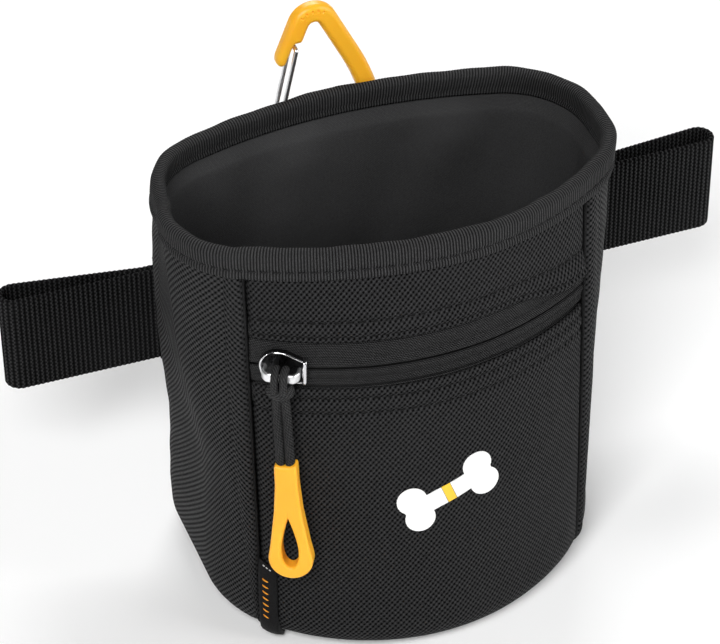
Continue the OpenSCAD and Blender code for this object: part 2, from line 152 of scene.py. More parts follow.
def pocket_share(s):
    """How much of the pocket's thickness lies under the lining at station s."""
    m = from_front(s)
    return np.where(m <= 1, 1.0, np.where(m >= 2.6, 0.0, (1 + np.cos(PI * (m - 1) / 1.6)) / 2))


def ring_stations(a, b, step, z=60.0):
    """Stations from a to b at even distances round the bag, with the distance of each."""
    fine = np.linspace(a, b, 4000)
    run = run_of(place(fine, z, 0))
    even = np.linspace(0, run[-1], max(2, int(round(run[-1] / step))) + 1)
    return np.interp(even, run, fine), even


def waves(u, v, seed, size):
    """Smooth, repeatable unevenness between -1 and 1, over lengths of about size mm."""
    rng = np.random.default_rng(seed)
    total = 0
    for _ in range(6):
        a = rng.uniform(0, 2 * PI)
        k = 2 * PI / size * rng.uniform(0.5, 1.3)
        total = total + np.sin(k * (np.cos(a) * u + np.sin(a) * v) + rng.uniform(0, 2 * PI))
    return total / 4


# ---------------------------------------------------------------- meshes
def linked(name, data):
    obj = bpy.data.objects.new(name, data)
    bpy.context.scene.collection.objects.link(obj)
    return obj


def claim(obj, body, nodes=""):
    """Tie a piece to its body and hide the CAD nodes it stands for."""
    if body:
        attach(obj, body)
    if nodes:
        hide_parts(*nodes.split())
    return obj


def cleaned(mesh, weld=0.0):
    """Doubled points joined and faces turned outwards."""
    bm = bmesh.new()
    bm.from_mesh(mesh)
    if weld:
        bmesh.ops.remove_doubles(bm, verts=bm.verts, dist=weld)
    bmesh.ops.recalc_face_normals(bm, faces=bm.faces)
    bm.to_mesh(mesh)
    bm.free()


def evaluated(obj):
    """The mesh an object shows. The object itself is removed."""
    bpy.context.view_layer.update()
    depsgraph = bpy.context.evaluated_depsgraph_get()
    mesh = bpy.data.meshes.new_from_object(obj.evaluated_get(depsgraph))
    bpy.data.objects.remove(obj)
    return mesh


def finish_mesh(name, verts, faces, mat, body, uvs=None, **more):
    """A smooth mesh object from points in mm, riding on a body."""
    mesh = bpy.data.meshes.new(name)
    mesh.from_pydata((np.asarray(verts) * MM).tolist(), [], faces)
    if uvs is not None:
        layer = mesh.uv_layers.new(name="UVMap")
        layer.data.foreach_set("uv", np.asarray(uvs, np.float32).ravel())
    cleaned(mesh)
    mesh.polygons.foreach_set("use_smooth", [True] * len(mesh.polygons))
    mesh.materials.append(mat)
    mesh.update()
    return claim(linked(name, mesh), body, **more)


def tube_faces(n, k, closed):
    """Faces of n rings of k points, closed round or capped at its ends, with each corner's ring
    and point number, so that texture coordinates can run on past the last ring or point."""
    faces, corners = [], []
    for i in range(n if closed else n - 1):
        a, b = i * k, ((i + 1) % n) * k
        for j in range(k):
            q = (j + 1) % k
            faces.append((a + j, a + q, b + q, b + j))
            corners += [(i, j), (i, j + 1), (i + 1, j + 1), (i + 1, j)]
    if not closed:
        for i in (0, n - 1):
            faces.append(tuple(i * k + j for j in range(k)))
            corners += [(i, j) for j in range(k)]
    return faces, corners


def tube(name, rings, mat, body, u=None, closed=False, **more):
    """A solid from rings of points (n, k, 3). Texture: u along the rings, v round them, in mm."""
    rings = np.asarray(rings, float)
    n, k = rings.shape[:2]
    faces, corners = tube_faces(n, k, closed)
    mid = rings[n // 2]
    v = run_of(np.concatenate([mid, mid[:1]]))
    if u is None:
        u = run_of(rings.mean(axis=1))
    u = list(u) + [u[-1] + (u[-1] - u[-2])]
    uvs = [(u[i], v[j]) for i, j in corners]
    return finish_mesh(name, rings.reshape(-1, 3), faces, mat, body, uvs, **more)


def wall(name, stations, u, profile, mat, closed=False, shape=None, lift=None, **more):
    """A layer round the bag. profile is a closed loop of (inset, z); shape(s, u, inset, z) gives
    the inset to add at each point and lift(u, z) the height to add."""
    inset, z = np.asarray(profile, float).T[:, None]
    s, along = np.asarray(stations)[:, None], np.asarray(u)[:, None]
    if shape is not None:
        inset = inset + shape(s, along, inset, z)
    rings = place(s, z + (0 if lift is None else lift(along, z)), inset)
    if closed:
        rings, u = rings[:-1], u[:-1]
    return tube(name, rings, mat, "pouch", u=u, closed=closed, **more)


def polyline(points, step):
    """The path through points, resampled at an even step, with the distance of each point."""
    p = np.asarray(points, float)
    run = run_of(p)
    t = np.linspace(0, run[-1], max(2, int(round(run[-1] / step))) + 1)
    return at_runs(t, run, p), t


def relaxed(points, step, radius):
    """The path with its corners rounded off, ends kept."""
    p, _ = polyline(points, step)
    w = max(1, int(radius / step))
    kernel = np.hanning(2 * w + 3)[1:-1]
    kernel /= kernel.sum()
    full = np.concatenate([2 * p[0] - p[w:0:-1], p, 2 * p[-1] - p[-2:-w - 2:-1]])
    q = np.stack([np.convolve(full[:, k], kernel, mode="valid") for k in range(3)], axis=1)
    return polyline(q, step)[0]


def swept(p, right, up, x, y):
    """Rings round a path: at each point, x to its right and y up."""
    return p[:, None] + right[:, None] * x[..., None] + up[:, None] * y[..., None]


def strap(name, path, across, width, thick, mat, body, rib=1.34, rib_h=0.09, step=None,
          edge_pts=5, columns=12, **more):
    """Webbing along a path of points, as wide as width along the across vectors, with ribs."""
    path = np.asarray(path, float)
    both = np.concatenate([path, np.broadcast_to(np.asarray(across, float), path.shape)], axis=1)
    run = run_of(path)
    t = np.linspace(0, run[-1], max(2, int(round(run[-1] / (step or rib / 6)))) + 1)
    both = at_runs(t, run, both)
    p, across = both[:, :3], both[:, 3:]
    along = unit(np.gradient(p, axis=0))
    across = square_to(across, along)
    normal = np.cross(along, across)
    h = thick / 2
    flat = np.linspace(-width / 2 + h, width / 2 - h, columns)
    turn = np.linspace(0, PI, edge_pts + 2)[1:-1]
    # across, up and the face it lies on: 1 top, -1 underside, 0 the rounded edges
    section = [(x, h, 1) for x in flat]
    section += [(width / 2 - h + h * math.sin(a), h * math.cos(a), 0) for a in turn]
    section += [(x, -h, -1) for x in flat[::-1]]
    section += [(-width / 2 + h - h * math.sin(a), h * math.cos(a), 0) for a in turn[::-1]]
    x, y, face = np.array(section).T
    ribs = (rib_h * (np.cos(2 * PI * t / rib) - 1) / 2)[:, None]
    edge_ribs = np.where(face == 0, 2.2 * np.sign(x), 0.0) * ribs
    rings = swept(p, across, normal, x + edge_ribs, y + face * ribs)
    return tube(name, rings, mat, body, u=t, **more)


def cord(name, path, radius, mat, body, sides=12, step=0.35, lay=0.0, lay_h=0.0, strands=4, **more):
    """A round cord along a path, with braided strands standing out of it."""
    p, t = polyline(path, step)
    along = unit(np.gradient(p, axis=0))
    ref = np.zeros_like(p)
    ref[0] = unit(np.cross(along[0], (0.3, 0.9, 0.31)))
    for i in range(1, len(p)):
        ref[i] = square_to(ref[i - 1], along[i])
    a = np.linspace(0, 2 * PI, sides, endpoint=False)
    r = radius * np.ones((len(p), sides))
    if lay:
        turn = 2 * PI * t[:, None] / lay
        r = r + lay_h * np.cos(strands * a + turn) * np.cos(strands * a - turn)
    rings = swept(p, ref, np.cross(along, ref), r * np.cos(a), r * np.sin(a))
    return tube(name, rings, mat, body, u=t, **more)


def stitches(name, path, normal, mat, length=2.5, gap=0.6, r=0.21, lift=0.12, **more):
    """A row of sewn stitches along a path: each a short thread that dives in at its ends."""
    p, t = polyline(path, 0.1)
    keys = run_of(path)
    normal = np.broadcast_to(np.asarray(normal, float), (len(keys), 3))
    sides, rows = 6, 7
    share = np.linspace(0, 1, rows)
    arch = (np.sin(PI * share) ** 0.5)[:, None]
    thick = r * (0.45 + 0.55 * arch)
    a = 2 * PI * np.arange(sides) / sides
    one_stitch, _ = tube_faces(rows, sides, False)
    verts, faces = [], []
    start = 0.3
    while start + length < t[-1]:
        at = start + share * length
        c = at_runs(at, t, p)
        out = unit(at_runs(at, keys, normal))
        side = np.cross(unit(np.gradient(c, axis=0)), out)
        c = c + out * (lift * arch - r * 0.9 * (1 - arch))
        base = len(verts)
        verts += [*swept(c, out, side, thick * np.cos(a), thick * np.sin(a)).reshape(-1, 3)]
        faces += [tuple(base + q for q in one) for one in one_stitch]
        start += length + gap
    return finish_mesh(name, verts, faces, mat, "pouch", **more)


def filled(name, outlines, **settings):
    """The mesh of a flat curve filled between closed outlines."""
    curve = bpy.data.curves.new(name, "CURVE")
    curve.dimensions, curve.fill_mode = "2D", "BOTH"
    for line in outlines:
        spline = curve.splines.new("POLY")
        spline.points.add(len(line) - 1)
        for point, (x, z) in zip(spline.points, line):
            point.co = (x, z, 0, 1)
        spline.use_cyclic_u = True
    for key, value in settings.items():
        setattr(curve, key, value)
    return evaluated(linked(name + "_curve", curve))


DIMPLE = (0.62, 0.34, 0.36)
DIMPLE_EDGE = math.radians(32)


def dented(mesh, dents, thick, to_world):
    """The mesh with short dimples pressed into its front and back faces."""
    bm = bmesh.new()
    for (x, z), angle in dents:
        c, s = cosd(angle), sind(angle)
        for side in (-1, 1):
            made = bmesh.ops.create_uvsphere(bm, u_segments=16, v_segments=10, radius=1.0)["verts"]
            ball = np.array([v.co for v in made]) * DIMPLE
            flat = np.stack([x + ball[:, 0] * c - ball[:, 2] * s, ball[:, 1] + side * thick / 2,
                             z + ball[:, 0] * s + ball[:, 2] * c], axis=1)
            for v, co in zip(made, to_world(flat) * MM):
                v.co = co
    cutter = linked("dents", bpy.data.meshes.new("dents"))
    bm.to_mesh(cutter.data)
    bm.free()
    target = linked("dented", mesh)
    cut = target.modifiers.new("Cut", "BOOLEAN")
    cut.operation, cut.solver, cut.object = "DIFFERENCE", "EXACT", cutter
    out = evaluated(target)
    bpy.data.objects.remove(cutter)
    return out


def plate(name, outlines, thick, bevel, mat, body, to_world, segments=4, mid=0.0, dents=(), **more):
    """A moulded plate with rounded edges from closed outlines in x and z. to_world takes an
    array of (x, y, z) points in mm, y across the plate, to the row frame."""
    mesh = filled(name, outlines, extrude=thick / 2 - bevel, bevel_depth=bevel,
                  bevel_resolution=segments, offset=-bevel)
    co = np.array([v.co for v in mesh.vertices]).reshape(-1, 3)
    flat = np.stack([co[:, 0], -co[:, 2] + mid, co[:, 1]], axis=1)
    mesh.vertices.foreach_set("co", (to_world(flat) * MM).astype(np.float32).ravel())
    cleaned(mesh, weld=1e-6)
    if dents:
        mesh = dented(mesh, dents, thick, to_world)
    mesh.polygons.foreach_set("use_smooth", [True] * len(mesh.polygons))
    if dents:
        mesh.set_sharp_from_angle(angle=DIMPLE_EDGE)
    mesh.materials.clear()
    mesh.materials.append(mat)
    obj = linked(name, mesh)
    obj.modifiers.new("Normals", "WEIGHTED_NORMAL").keep_sharp = True
    return claim(obj, body, **more)


# ---------------------------------------------------------------- materials
class Shader:
    """A material with short ways to add and join nodes."""

    def __init__(self, name, rough=0.7, spec=0.35, metal=0.0):
        self.mat = bpy.data.materials.new(name)
        self.mat.use_nodes = True
        self.tree = self.mat.node_tree
        self.bsdf = self.tree.nodes["Principled BSDF"]
        where = self.node("TexCoord", out=None)
        self.uv, self.obj = where["UV"], where["Object"]
        self.set("Roughness", rough)
        self.set("Specular IOR Level", spec)
        self.set("Metallic", metal)

    def set(self, name, value):
        self.join(value, self.bsdf.inputs[name])

    def join(self, value, socket):
        if isinstance(value, bpy.types.NodeSocket):
            self.tree.links.new(value, socket)
        elif isinstance(value, tuple) and socket.type == "RGBA":
            socket.default_value = (*value, 1)
        else:
            socket.default_value = value

    def node(self, kind, inputs=(), out=0, **settings):
        """One output of a new node, or all with None; inputs are pairs of socket and value."""
        node = self.tree.nodes.new("ShaderNode" + kind)
        for key, value in settings.items():
            setattr(node, key, value)
        for key, value in inputs:
            self.join(value, node.inputs[key])
        return node.outputs if out is None else node.outputs[out]

    def op(self, kind, *values):
        return self.node("Math", enumerate(values), operation=kind)

    def mul(self, a, b):
        return self.op("MULTIPLY", a, b)

    def add(self, a, b):
        return self.op("ADD", a, b)

    def split(self, vector):
        return self.node("SeparateXYZ", [(0, vector)], None)

    def noise(self, scale, detail=3.0, vector=None):
        where = self.obj if vector is None else vector
        return self.node("TexNoise", [("Vector", where), ("Scale", scale), ("Detail", detail)])

    def mix(self, share, a, b):
        return self.node("Mix", [(0, share), (6, a), (7, b)], 2, data_type="RGBA")

    def fit(self, *values):
        """A value brought from one range to another: low, high, and then 0 and 1 or as given."""
        return self.node("MapRange", enumerate(values))

    def bump(self, height, depth, strength):
        """Relief, depth mm deep."""
        values = [("Height", height), ("Distance", depth * MM), ("Strength", strength)]
        self.set("Normal", self.node("Bump", values))

    def cloth(self, tone, height, depth, gloss, rough):
        """Threads that stand up and shine more than the gaps between them."""
        self.bump(height, depth, 0.9)
        self.set("Specular IOR Level", self.fit(tone, 0.0, 1.0, 0.02, gloss))
        self.set("Roughness", self.fit(tone, 0.0, 1.0, rough + 0.15, rough - 0.05))
        return self.mat


FINE = 2600.0


def crossing(sh, u, v, pitch_u, pitch_v):
    """Two sets of slanting threads that cross, one of them stronger."""
    around = sh.mul(sh.op("DIVIDE", u, pitch_u), 2 * PI)
    up = sh.mul(sh.op("DIVIDE", v, pitch_v), PI)
    rising = sh.op("COSINE", sh.op("SUBTRACT", around, up))
    falling = sh.op("COSINE", sh.add(around, up))
    both = sh.add(sh.mul(rising, 0.6), sh.mul(falling, 0.4))
    return sh.op("POWER", sh.fit(both, -0.75, 0.85), 0.8)


def staggered(sh, u, v, pitch_u, pitch_v, slant, crisp):
    """Rows of short threads, each row moved on by half a thread."""
    v = sh.op("DIVIDE", v, pitch_v)
    fv = sh.op("SUBTRACT", sh.op("FRACT", v), 0.5)
    shift = sh.mul(sh.op("MODULO", sh.op("FLOOR", v), 2.0), 0.5)
    u = sh.add(sh.add(sh.op("DIVIDE", u, pitch_u), shift), sh.mul(fv, slant))
    fu = sh.op("SUBTRACT", sh.op("FRACT", sh.add(u, 1000.0)), 0.5)
    cu, cv = (sh.op("COSINE", sh.mul(f, PI)) for f in (fu, fv))
    return sh.op("POWER", sh.mul(cu, cv), crisp)


def woven(name, dark, light, pitch_u, pitch_v, depth, slant=0.0, rough=0.62, wear=0.25, gloss=0.22,
          crisp=0.9, crossed=False):
    """Cloth with a thread pattern in its own directions, in mm, and paler worn areas. The colour is
    darkest in the low gaps between the threads: painted shade.
    """
    sh = Shader(name)
    u, v, _ = sh.split(sh.uv)
    if crossed:
        threads = crossing(sh, u, v, pitch_u, pitch_v)
    else:
        threads = staggered(sh, u, v, pitch_u, pitch_v, slant, crisp)
    fine = sh.noise(FINE, 2.0)
    tone = sh.mul(threads, sh.fit(fine, 0.3, 0.7, 0.65, 1.35))
    worn = tuple(1.5 * c + 0.004 for c in light)
    wear = sh.mul(sh.fit(sh.noise(30.0), 0.45, 0.8), wear)
    # dark in the gaps, light on the raised threads: painted shade between the threads; the paler
    # patches are real wear
    sh.set("Base Color", sh.mix(wear, sh.mix(tone, dark, light), worn))
    return sh.cloth(tone, sh.add(threads, sh.mul(fine, 0.25)), depth, gloss, rough)


def ribbed(name, dark, light, pitch_u, pitch_v, depth, cross):
    """Ribs across the piece, with the smaller weave that crosses them. The colour is darkest in the
    troughs between ribs and knots: painted shade.
    """
    sh = Shader(name)
    u, v, _ = sh.split(sh.uv)
    rib = sh.fit(sh.op("COSINE", sh.mul(u, 2 * PI / pitch_u)), -1.0, 1.0)
    phase = sh.mul(sh.op("MODULO", sh.op("FLOOR", sh.op("DIVIDE", u, pitch_u)), 2.0), PI)
    knots = sh.op("COSINE", sh.add(sh.mul(v, 2 * PI / pitch_v), phase))
    knots = sh.fit(knots, -1.0, 1.0, 1 - cross, 1.0)
    fine = sh.noise(FINE, 2.0)
    tone = sh.mul(sh.mul(rib, knots), sh.fit(fine, 0.3, 0.7, 0.75, 1.25))
    wear = sh.fit(sh.noise(25.0), 0.3, 0.8, 0.0, 0.25)
    # dark in the troughs, light on the ribs and knots: painted shade between them; the paler patches
    # are real wear
    sh.set("Base Color", sh.mix(wear, sh.mix(tone, dark, light), light))
    return sh.cloth(tone, sh.add(tone, sh.mul(fine, 0.2)), depth, 0.2, 0.7)


def moulded(name, color, shade, rough, grain=900.0, grain_h=0.02, soft=0.0):
    """Moulded plastic, rubber or ink: slight mottling, fine grain and paler rubbed spots."""
    sh = Shader(name, spec=0.4)
    fine = sh.noise(grain)
    sh.set("Base Color", sh.mix(sh.fit(sh.noise(60.0, 4.0), 0.35, 0.75), color, shade))
    sh.set("Roughness", sh.fit(fine, 0.3, 0.7, rough - 0.06, rough + 0.08))
    sh.bump(fine, grain_h, 0.7)
    if soft:
        sh.set("Subsurface Weight", soft)
        sh.set("Subsurface Radius", (0.004, 0.002, 0.0008))
        sh.set("Subsurface Scale", 0.5)
    return sh.mat


def metal(name, color, rough, scratch=0.05):
    """Plated metal with fine scratches and slight tarnish."""
    sh = Shader(name, spec=0.5, metal=1.0)
    lines = sh.noise(900.0, 2.0, sh.node("Mapping", [(0, sh.obj), ("Scale", (1, 6, 1))]))
    stain = sh.fit(sh.noise(180.0, 4.0), 0.5, 0.75)
    sh.set("Base Color", sh.mix(stain, color, tuple(c * 0.72 for c in color)))
    sh.set("Roughness", sh.fit(lines, 0.3, 0.7, rough, rough + scratch * 2))
    sh.bump(lines, 0.006, 0.6)
    return sh.mat


def thread(name, color):
    """Sewing thread or cord yarn, twisted, and darker in the grooves of the twist: painted shade."""
    sh = Shader(name, rough=0.6, spec=0.15)
    x, y, z = sh.split(sh.obj)
    twist = sh.op("SINE", sh.mul(sh.add(sh.add(x, y), z), 12000.0))
    fine = sh.noise(3000.0, 2.0)
    tone = sh.mul(sh.fit(twist, -1.0, 1.0, 0.5, 1.0), sh.fit(fine, 0.3, 0.7, 0.7, 1.3))
    # darker where the twist is low: painted shade in its grooves
    sh.set("Base Color", sh.mix(tone, tuple(c * 0.4 for c in color), color))
    sh.bump(tone, 0.04, 0.8)
    return sh.mat


def grey(level, blue=None):
    return (level, level, level if blue is None else blue)


def oxford(name, dark, light, depth, gloss):
    """The shell's cloth."""
    return woven(name, grey(dark), grey(light, light + 0.001), 1.42, 0.85, depth, wear=0.06,
                 gloss=gloss, crossed=True)


# each cloth's first colour is near black: painted shade in the gaps and troughs between its threads
FRONT = oxford("shell_oxford_front", 0.0006, 0.031, 0.34, 0.12)
SHELL = oxford("shell_oxford", 0.0006, 0.040, 0.34, 0.14)
TWILL = oxford("shell_oxford_taut", 0.0008, 0.033, 0.2, 0.14)
LINING = woven("lining_taffeta", grey(0.020, 0.0205), grey(0.055, 0.056), 0.35, 0.35, 0.02,
               rough=0.5, gloss=0.2)
TAPE = woven("zip_tape_weave", grey(0.0015, 0.0016), grey(0.055, 0.056), 0.62, 0.46, 0.18,
             slant=1.0, wear=0.1, crisp=1.3)
SATIN = woven("label_satin", grey(0.005, 0.0052), grey(0.011, 0.0115), 0.22, 0.3, 0.015,
              rough=0.45, gloss=0.12)
PIPING = woven("piping_weave", grey(0.002), grey(0.016, 0.0165), 0.4, 0.4, 0.06, crisp=1.0)
YARN = woven("cord_braid", grey(0.0012), grey(0.055, 0.056), 0.9, 0.42, 0.18, slant=0.8)
GROSGRAIN = ribbed("grosgrain", grey(0.0015, 0.0016), grey(0.048, 0.049), 0.76, 0.30, 0.15, 0.25)
WEBBING = ribbed("webbing", grey(0.0005), grey(0.032, 0.033), 1.34, 1.25, 0.35, 0.9)
THREAD = thread("sewing_thread", grey(0.014, 0.0145))
DARK_THREAD = thread("topstitch_thread", grey(0.003))
PALE_THREAD = thread("pale_thread", grey(0.55))
ORANGE_THREAD = thread("orange_thread", (0.9, 0.35, 0.03))
ORANGE_SOFT = moulded("orange_rubber", (1.0, 0.47, 0.026), (0.98, 0.42, 0.022), 0.42, soft=0.2)
ORANGE_HARD = moulded("orange_plastic", (1.0, 0.50, 0.028), (0.99, 0.43, 0.022), 0.36, soft=0.2,
                      grain_h=0.01)
BLACK_HARD = moulded("buckle_acetal", grey(0.010, 0.0105), grey(0.014, 0.0145), 0.42,
                     grain=1400.0, grain_h=0.03)
COIL = moulded("coil_nylon", grey(0.010, 0.0105), grey(0.016), 0.4)
PRINT_WHITE = moulded("print_ink_white", grey(0.88, 0.87), grey(0.82, 0.81), 0.55, grain=1500.0,
                      grain_h=0.05)
PRINT_YELLOW = moulded("print_ink_yellow", (0.95, 0.60, 0.045), (0.90, 0.54, 0.04), 0.55,
                       grain=1500.0, grain_h=0.05)
CHROME = metal("plated_zinc", grey(0.66, 0.67), 0.14)
SATIN_METAL = metal("brushed_zinc", grey(0.86, 0.87), 0.30, scratch=0.08)
# chrome darkened to stand in for the dark surroundings that the slider's face reflects: painted dark
# reflection
CHROME_DARK_REFLECTION = metal("smoked_plating", grey(0.085, 0.088), 0.22, scratch=0.1)
STEEL = metal("sprung_steel", grey(0.85, 0.86), 0.28)

# ---------------------------------------------------------------- shell, lining, binding
THREAD_PITCH = 3.1
FRONT_S, FRONT_U = ring_stations(-0.988, 0.988, 1.1)
FRONT_U = FRONT_U - FRONT_U[-1] / 2
EDGE_U = FRONT_U[-1]
ZIP_LOW, ZIP_HIGH = ZIP_Z - OPEN_DOWN, ZIP_Z + OPEN_UP
ROWS_LOW = (ZIP_LOW - 3.0, ZIP_LOW - 7.4)
ROWS_HIGH = (ZIP_HIGH + 1.5, ZIP_HIGH + 6.0)
BINDING_ROW = POUCH_H - BINDING_H + 2.5


def bottom_turn(depth, angles):
    """The turn from under the bag up to its wall, as (inset, z), at a depth in the wall."""
    r = BOTTOM_R - depth
    return [(BOTTOM_R - r * math.sin(a), BOTTOM_R - r * math.cos(a)) for a in angles]


def faded(z, top):
    """1 over most of the height, running out to 0 at the base and at the mouth."""
    return clamp(z / 14) * clamp((POUCH_H - z) / top)


def flap_lift(u, z):
    """The upper panel rides up along most of the zip and comes down to it at the right end."""
    q = clamp((u - 20) / 24)
    return (1.4 - 3.0 * q * q * (3 - 2 * q)) * clamp((POUCH_H - 6 - z) / 22)


def front_waves(u, z):
    return 0.30 * waves(u, z, 3, 34) + 0.08 * waves(u, z, 4, 11)


def front_shape(s, u, inset, z):
    """Front panels: they dip at their stitch rows, turn in at the seams and lie a little unevenly."""
    d = EDGE_U - np.abs(u)
    inward = 1.5 * dip(d, 0, 0.9) + 0.25 * dip(d, 0, 3.5)
    pucker = 1 + 0.35 * np.cos(2 * PI * u / THREAD_PITCH)
    for row in ROWS_LOW + ROWS_HIGH:
        inward = inward + 0.55 * dip(z, row, 0.6) * pucker
    inward = inward - 0.18 * (dip(z, sum(ROWS_LOW) / 2, 1.5) + dip(z, sum(ROWS_HIGH) / 2, 1.5))
    inner = clamp(d / 8)
    inward = inward + faded(z, 12) * inner * front_waves(u, z) - 0.25 * dip(z, 12, 6) * inner
    right_end = clamp((u - 24) / 12) * clamp(d / 2) * np.where(z > ZIP_Z, 1.0, 0.0)
    return inward - 2.2 * right_end * dip(z, ZIP_HIGH, 3.4)


quarter = np.linspace(0, PI / 2, 12)
low_outer, low_inner = bottom_turn(0, quarter), bottom_turn(CLOTH, quarter[::-1])
low_profile = low_outer + [(0, z) for z in np.arange(BOTTOM_R + 1.2, ZIP_LOW - 0.9, 0.55)]
low_profile += [(0.10, ZIP_LOW - 0.45), (0.45, ZIP_LOW), (0.95, ZIP_LOW - 0.1),
                (1.05, ZIP_LOW - 1.0), (0.95, ZIP_LOW - 5)]
low_profile += [(CLOTH, z) for z in np.arange(72, 12, -9)] + low_inner
wall("shell_front_lower", FRONT_S, FRONT_U, low_profile, FRONT, shape=front_shape,
     nodes="front_lower_panel")

high_profile = [(0.95, ZIP_HIGH + 0.1), (0.45, ZIP_HIGH), (0.10, ZIP_HIGH + 0.45)]
high_profile += [(0, z) for z in np.arange(ZIP_HIGH + 0.9, POUCH_H - 1, 0.55)]
high_profile += [(CLOTH, POUCH_H - 1.2), (CLOTH, POUCH_H - 10), (0.95, ZIP_HIGH + 5),
                 (1.05, ZIP_HIGH + 1.0)]
wall("shell_front_upper", FRONT_S, FRONT_U, high_profile, FRONT, shape=front_shape, lift=flap_lift,
     nodes="front_upper_panel")

SIDE_S, SIDE_U = ring_stations(1.02, 10.98, 1.3)
SIDE_MID = SIDE_U[-1] / 2


def side_shape(s, u, inset, z):
    """Side and back panel: a soft roll beside each seam, and some slackness at the sides."""
    d = SIDE_MID - np.abs(u - SIDE_MID)
    inward = 1.3 * dip(d, 0, 0.55) - 0.75 * dip(d, 2.0, 1.3) + 0.2 * dip(d, 4.6, 1.3)
    slack = 1.5 * dip(z, 52, 30) * (dip(s, 2.8, 0.9) + dip(s, 9.2, 0.9))
    uneven = 0.40 * waves(u, z, 7, 40) + 0.12 * waves(u, z, 8, 13)
    inward = inward + faded(z, 14) * clamp(d / 10) * (slack + uneven)
    return inward - 0.2 * dip(z, 12, 6) * clamp(d / 8)


side_profile = low_outer + [(0, z) for z in np.arange(BOTTOM_R + 1.5, POUCH_H - 1, 1.2)]
side_profile += [(CLOTH, POUCH_H - 1.2)] + [(CLOTH, z) for z in np.arange(114, 12, -9)] + low_inner
wall("shell_sides_back", SIDE_S, SIDE_U, side_profile, SHELL, shape=side_shape,
     nodes="side_back_panel")


def floor_disc(name, z, thick, inset, mat, crown, **more):
    """A thin crowned plate across the bottom."""
    edge = place(ring_stations(0, 12, 3.0, z=2)[0][:-1], z, inset)[:, :2]
    centre = edge.mean(axis=0)
    shares = np.linspace(1, 0.05, 16)
    rows, n = len(shares), len(edge)
    verts = [(x, y, z + up + crown * (1 - share ** 2)) for up in (0, thick) for share in shares
             for x, y in centre + (edge - centre) * share]
    faces = []
    for base in (0, rows * n):
        for i in range(rows - 1):
            a, b = base + i * n, base + (i + 1) * n
            faces += [(a + j, a + (j + 1) % n, b + (j + 1) % n, b + j) for j in range(n)]
        faces.append(tuple(base + (rows - 1) * n + j for j in range(n)))
    faces += [(j, (j + 1) % n, rows * n + (j + 1) % n, rows * n + j) for j in range(n)]
    uvs = [verts[q][:2] for face in faces for q in face]
    return finish_mesh(name, verts, faces, mat, "pouch", uvs, **more)


floor_disc("shell_base", 0.05, CLOTH, BOTTOM_R - 0.2, SHELL, 0.6, nodes="base_panel")
floor_disc("lining_bottom", 3.2, 0.5, BOTTOM_R - 0.6, LINING, 0.5,
           nodes="lining_floor base_board")

LINE_S, LINE_U = ring_stations(0, 12, 1.5)


def lining_shape(s, u, inset, z):
    """The lining stands in over the pocket and hangs in soft upright folds."""
    pocket = np.interp(z, [0, 18, 30, HEM_Z - 14, HEM_Z - 7, HEM_Z], [0, 0, 1, 1, 0.5, 0])
    ang = 2 * PI * u / LINE_U[-1]
    fade = clamp((z - 4) / 20) * clamp((HEM_Z + 2 - z) / 10)
    slack = np.sin(9 * ang + z / 30) + np.sin(5 * ang - z / 22 + 1) + 0.7 * np.sin(17 * ang + z / 15)
    return pocket_share(s) * pocket * POCKET + fade * (0.35 * slack + 0.5)


quarter = np.linspace(0, PI / 2, 9)
lining = bottom_turn(3.6, quarter) + [(3.6, z) for z in np.arange(11, HEM_Z, 2.5)]
lining += [(3.4, HEM_Z + 0.5), (1.9, HEM_Z + 3.5), (1.65, POUCH_H - 1.5)]
lining += [(1.2, POUCH_H - 1.5), (1.45, HEM_Z + 3.5), (2.95, HEM_Z + 0.5)]
lining += [(3.15, z) for z in np.arange(HEM_Z - 1, 11, -12)] + bottom_turn(3.15, quarter[::-1])
wall("lining_wall", LINE_S, LINE_U, lining, LINING, closed=True, shape=lining_shape,
     nodes="lining body_foam mouth_magnets pocket_bag")

RIB_PITCH = 0.76
mouth_run = ring_stations(0, 12, 1.0, z=POUCH_H - 6)[1][-1]
RIBS = int(round(mouth_run / RIB_PITCH))
BIND_RUN = RIBS * RIB_PITCH
BIND_S, BIND_U = ring_stations(0, 12, mouth_run / (RIBS * 4), z=POUCH_H - 6)
BIND_U = BIND_U * (BIND_RUN / BIND_U[-1])


def binding_shape(s, u, inset, z):
    """Ribs, the groove of the stitch row and the slight wave of a bound edge."""
    rib = 0.05 * (1 - np.cos(2 * PI * u / RIB_PITCH))
    outside = np.where(inset < 0.9, 1.0, -1.0)
    ang = 2 * PI * u / BIND_RUN
    wave = 0.25 * np.sin(7 * ang + 1) + 0.18 * np.sin(13 * ang) + 0.12 * np.sin(29 * ang + 2)
    groove = 0.55 * dip(z, BINDING_ROW, 0.55) * (1 + 0.2 * np.cos(2 * PI * u / THREAD_PITCH))
    return outside * (rib + groove) + wave * clamp((z - POUCH_H + 6) / 6)


low = POUCH_H - BINDING_H
bind = [(-0.15, low + 0.2), (-0.55, low), (-0.95, low + 0.35), (-1.15, low + 1.0), (-1.15, low + 1.8)]
bind += [(-1.15, z) for z in np.arange(low + 2.2, POUCH_H - 1.8, 0.6)]
bind += [(0.78 - 1.93 * math.cos(a), POUCH_H - 1.6 + 1.6 * math.sin(a)) for a in np.linspace(0, PI, 12)]
bind += [(2.72, z) for z in np.arange(POUCH_H - 2.6, low + 1.0, -1.0)]
bind += [(2.4, low + 0.5), (1.95, low + 0.8), (1.9, low + 4), (1.9, POUCH_H - 1.3),
         (-0.1, POUCH_H - 1.3), (-0.1, low + 4)]
wall("mouth_binding", BIND_S, BIND_U, bind, GROSGRAIN, closed=True, shape=binding_shape,
     nodes="rim_binding")


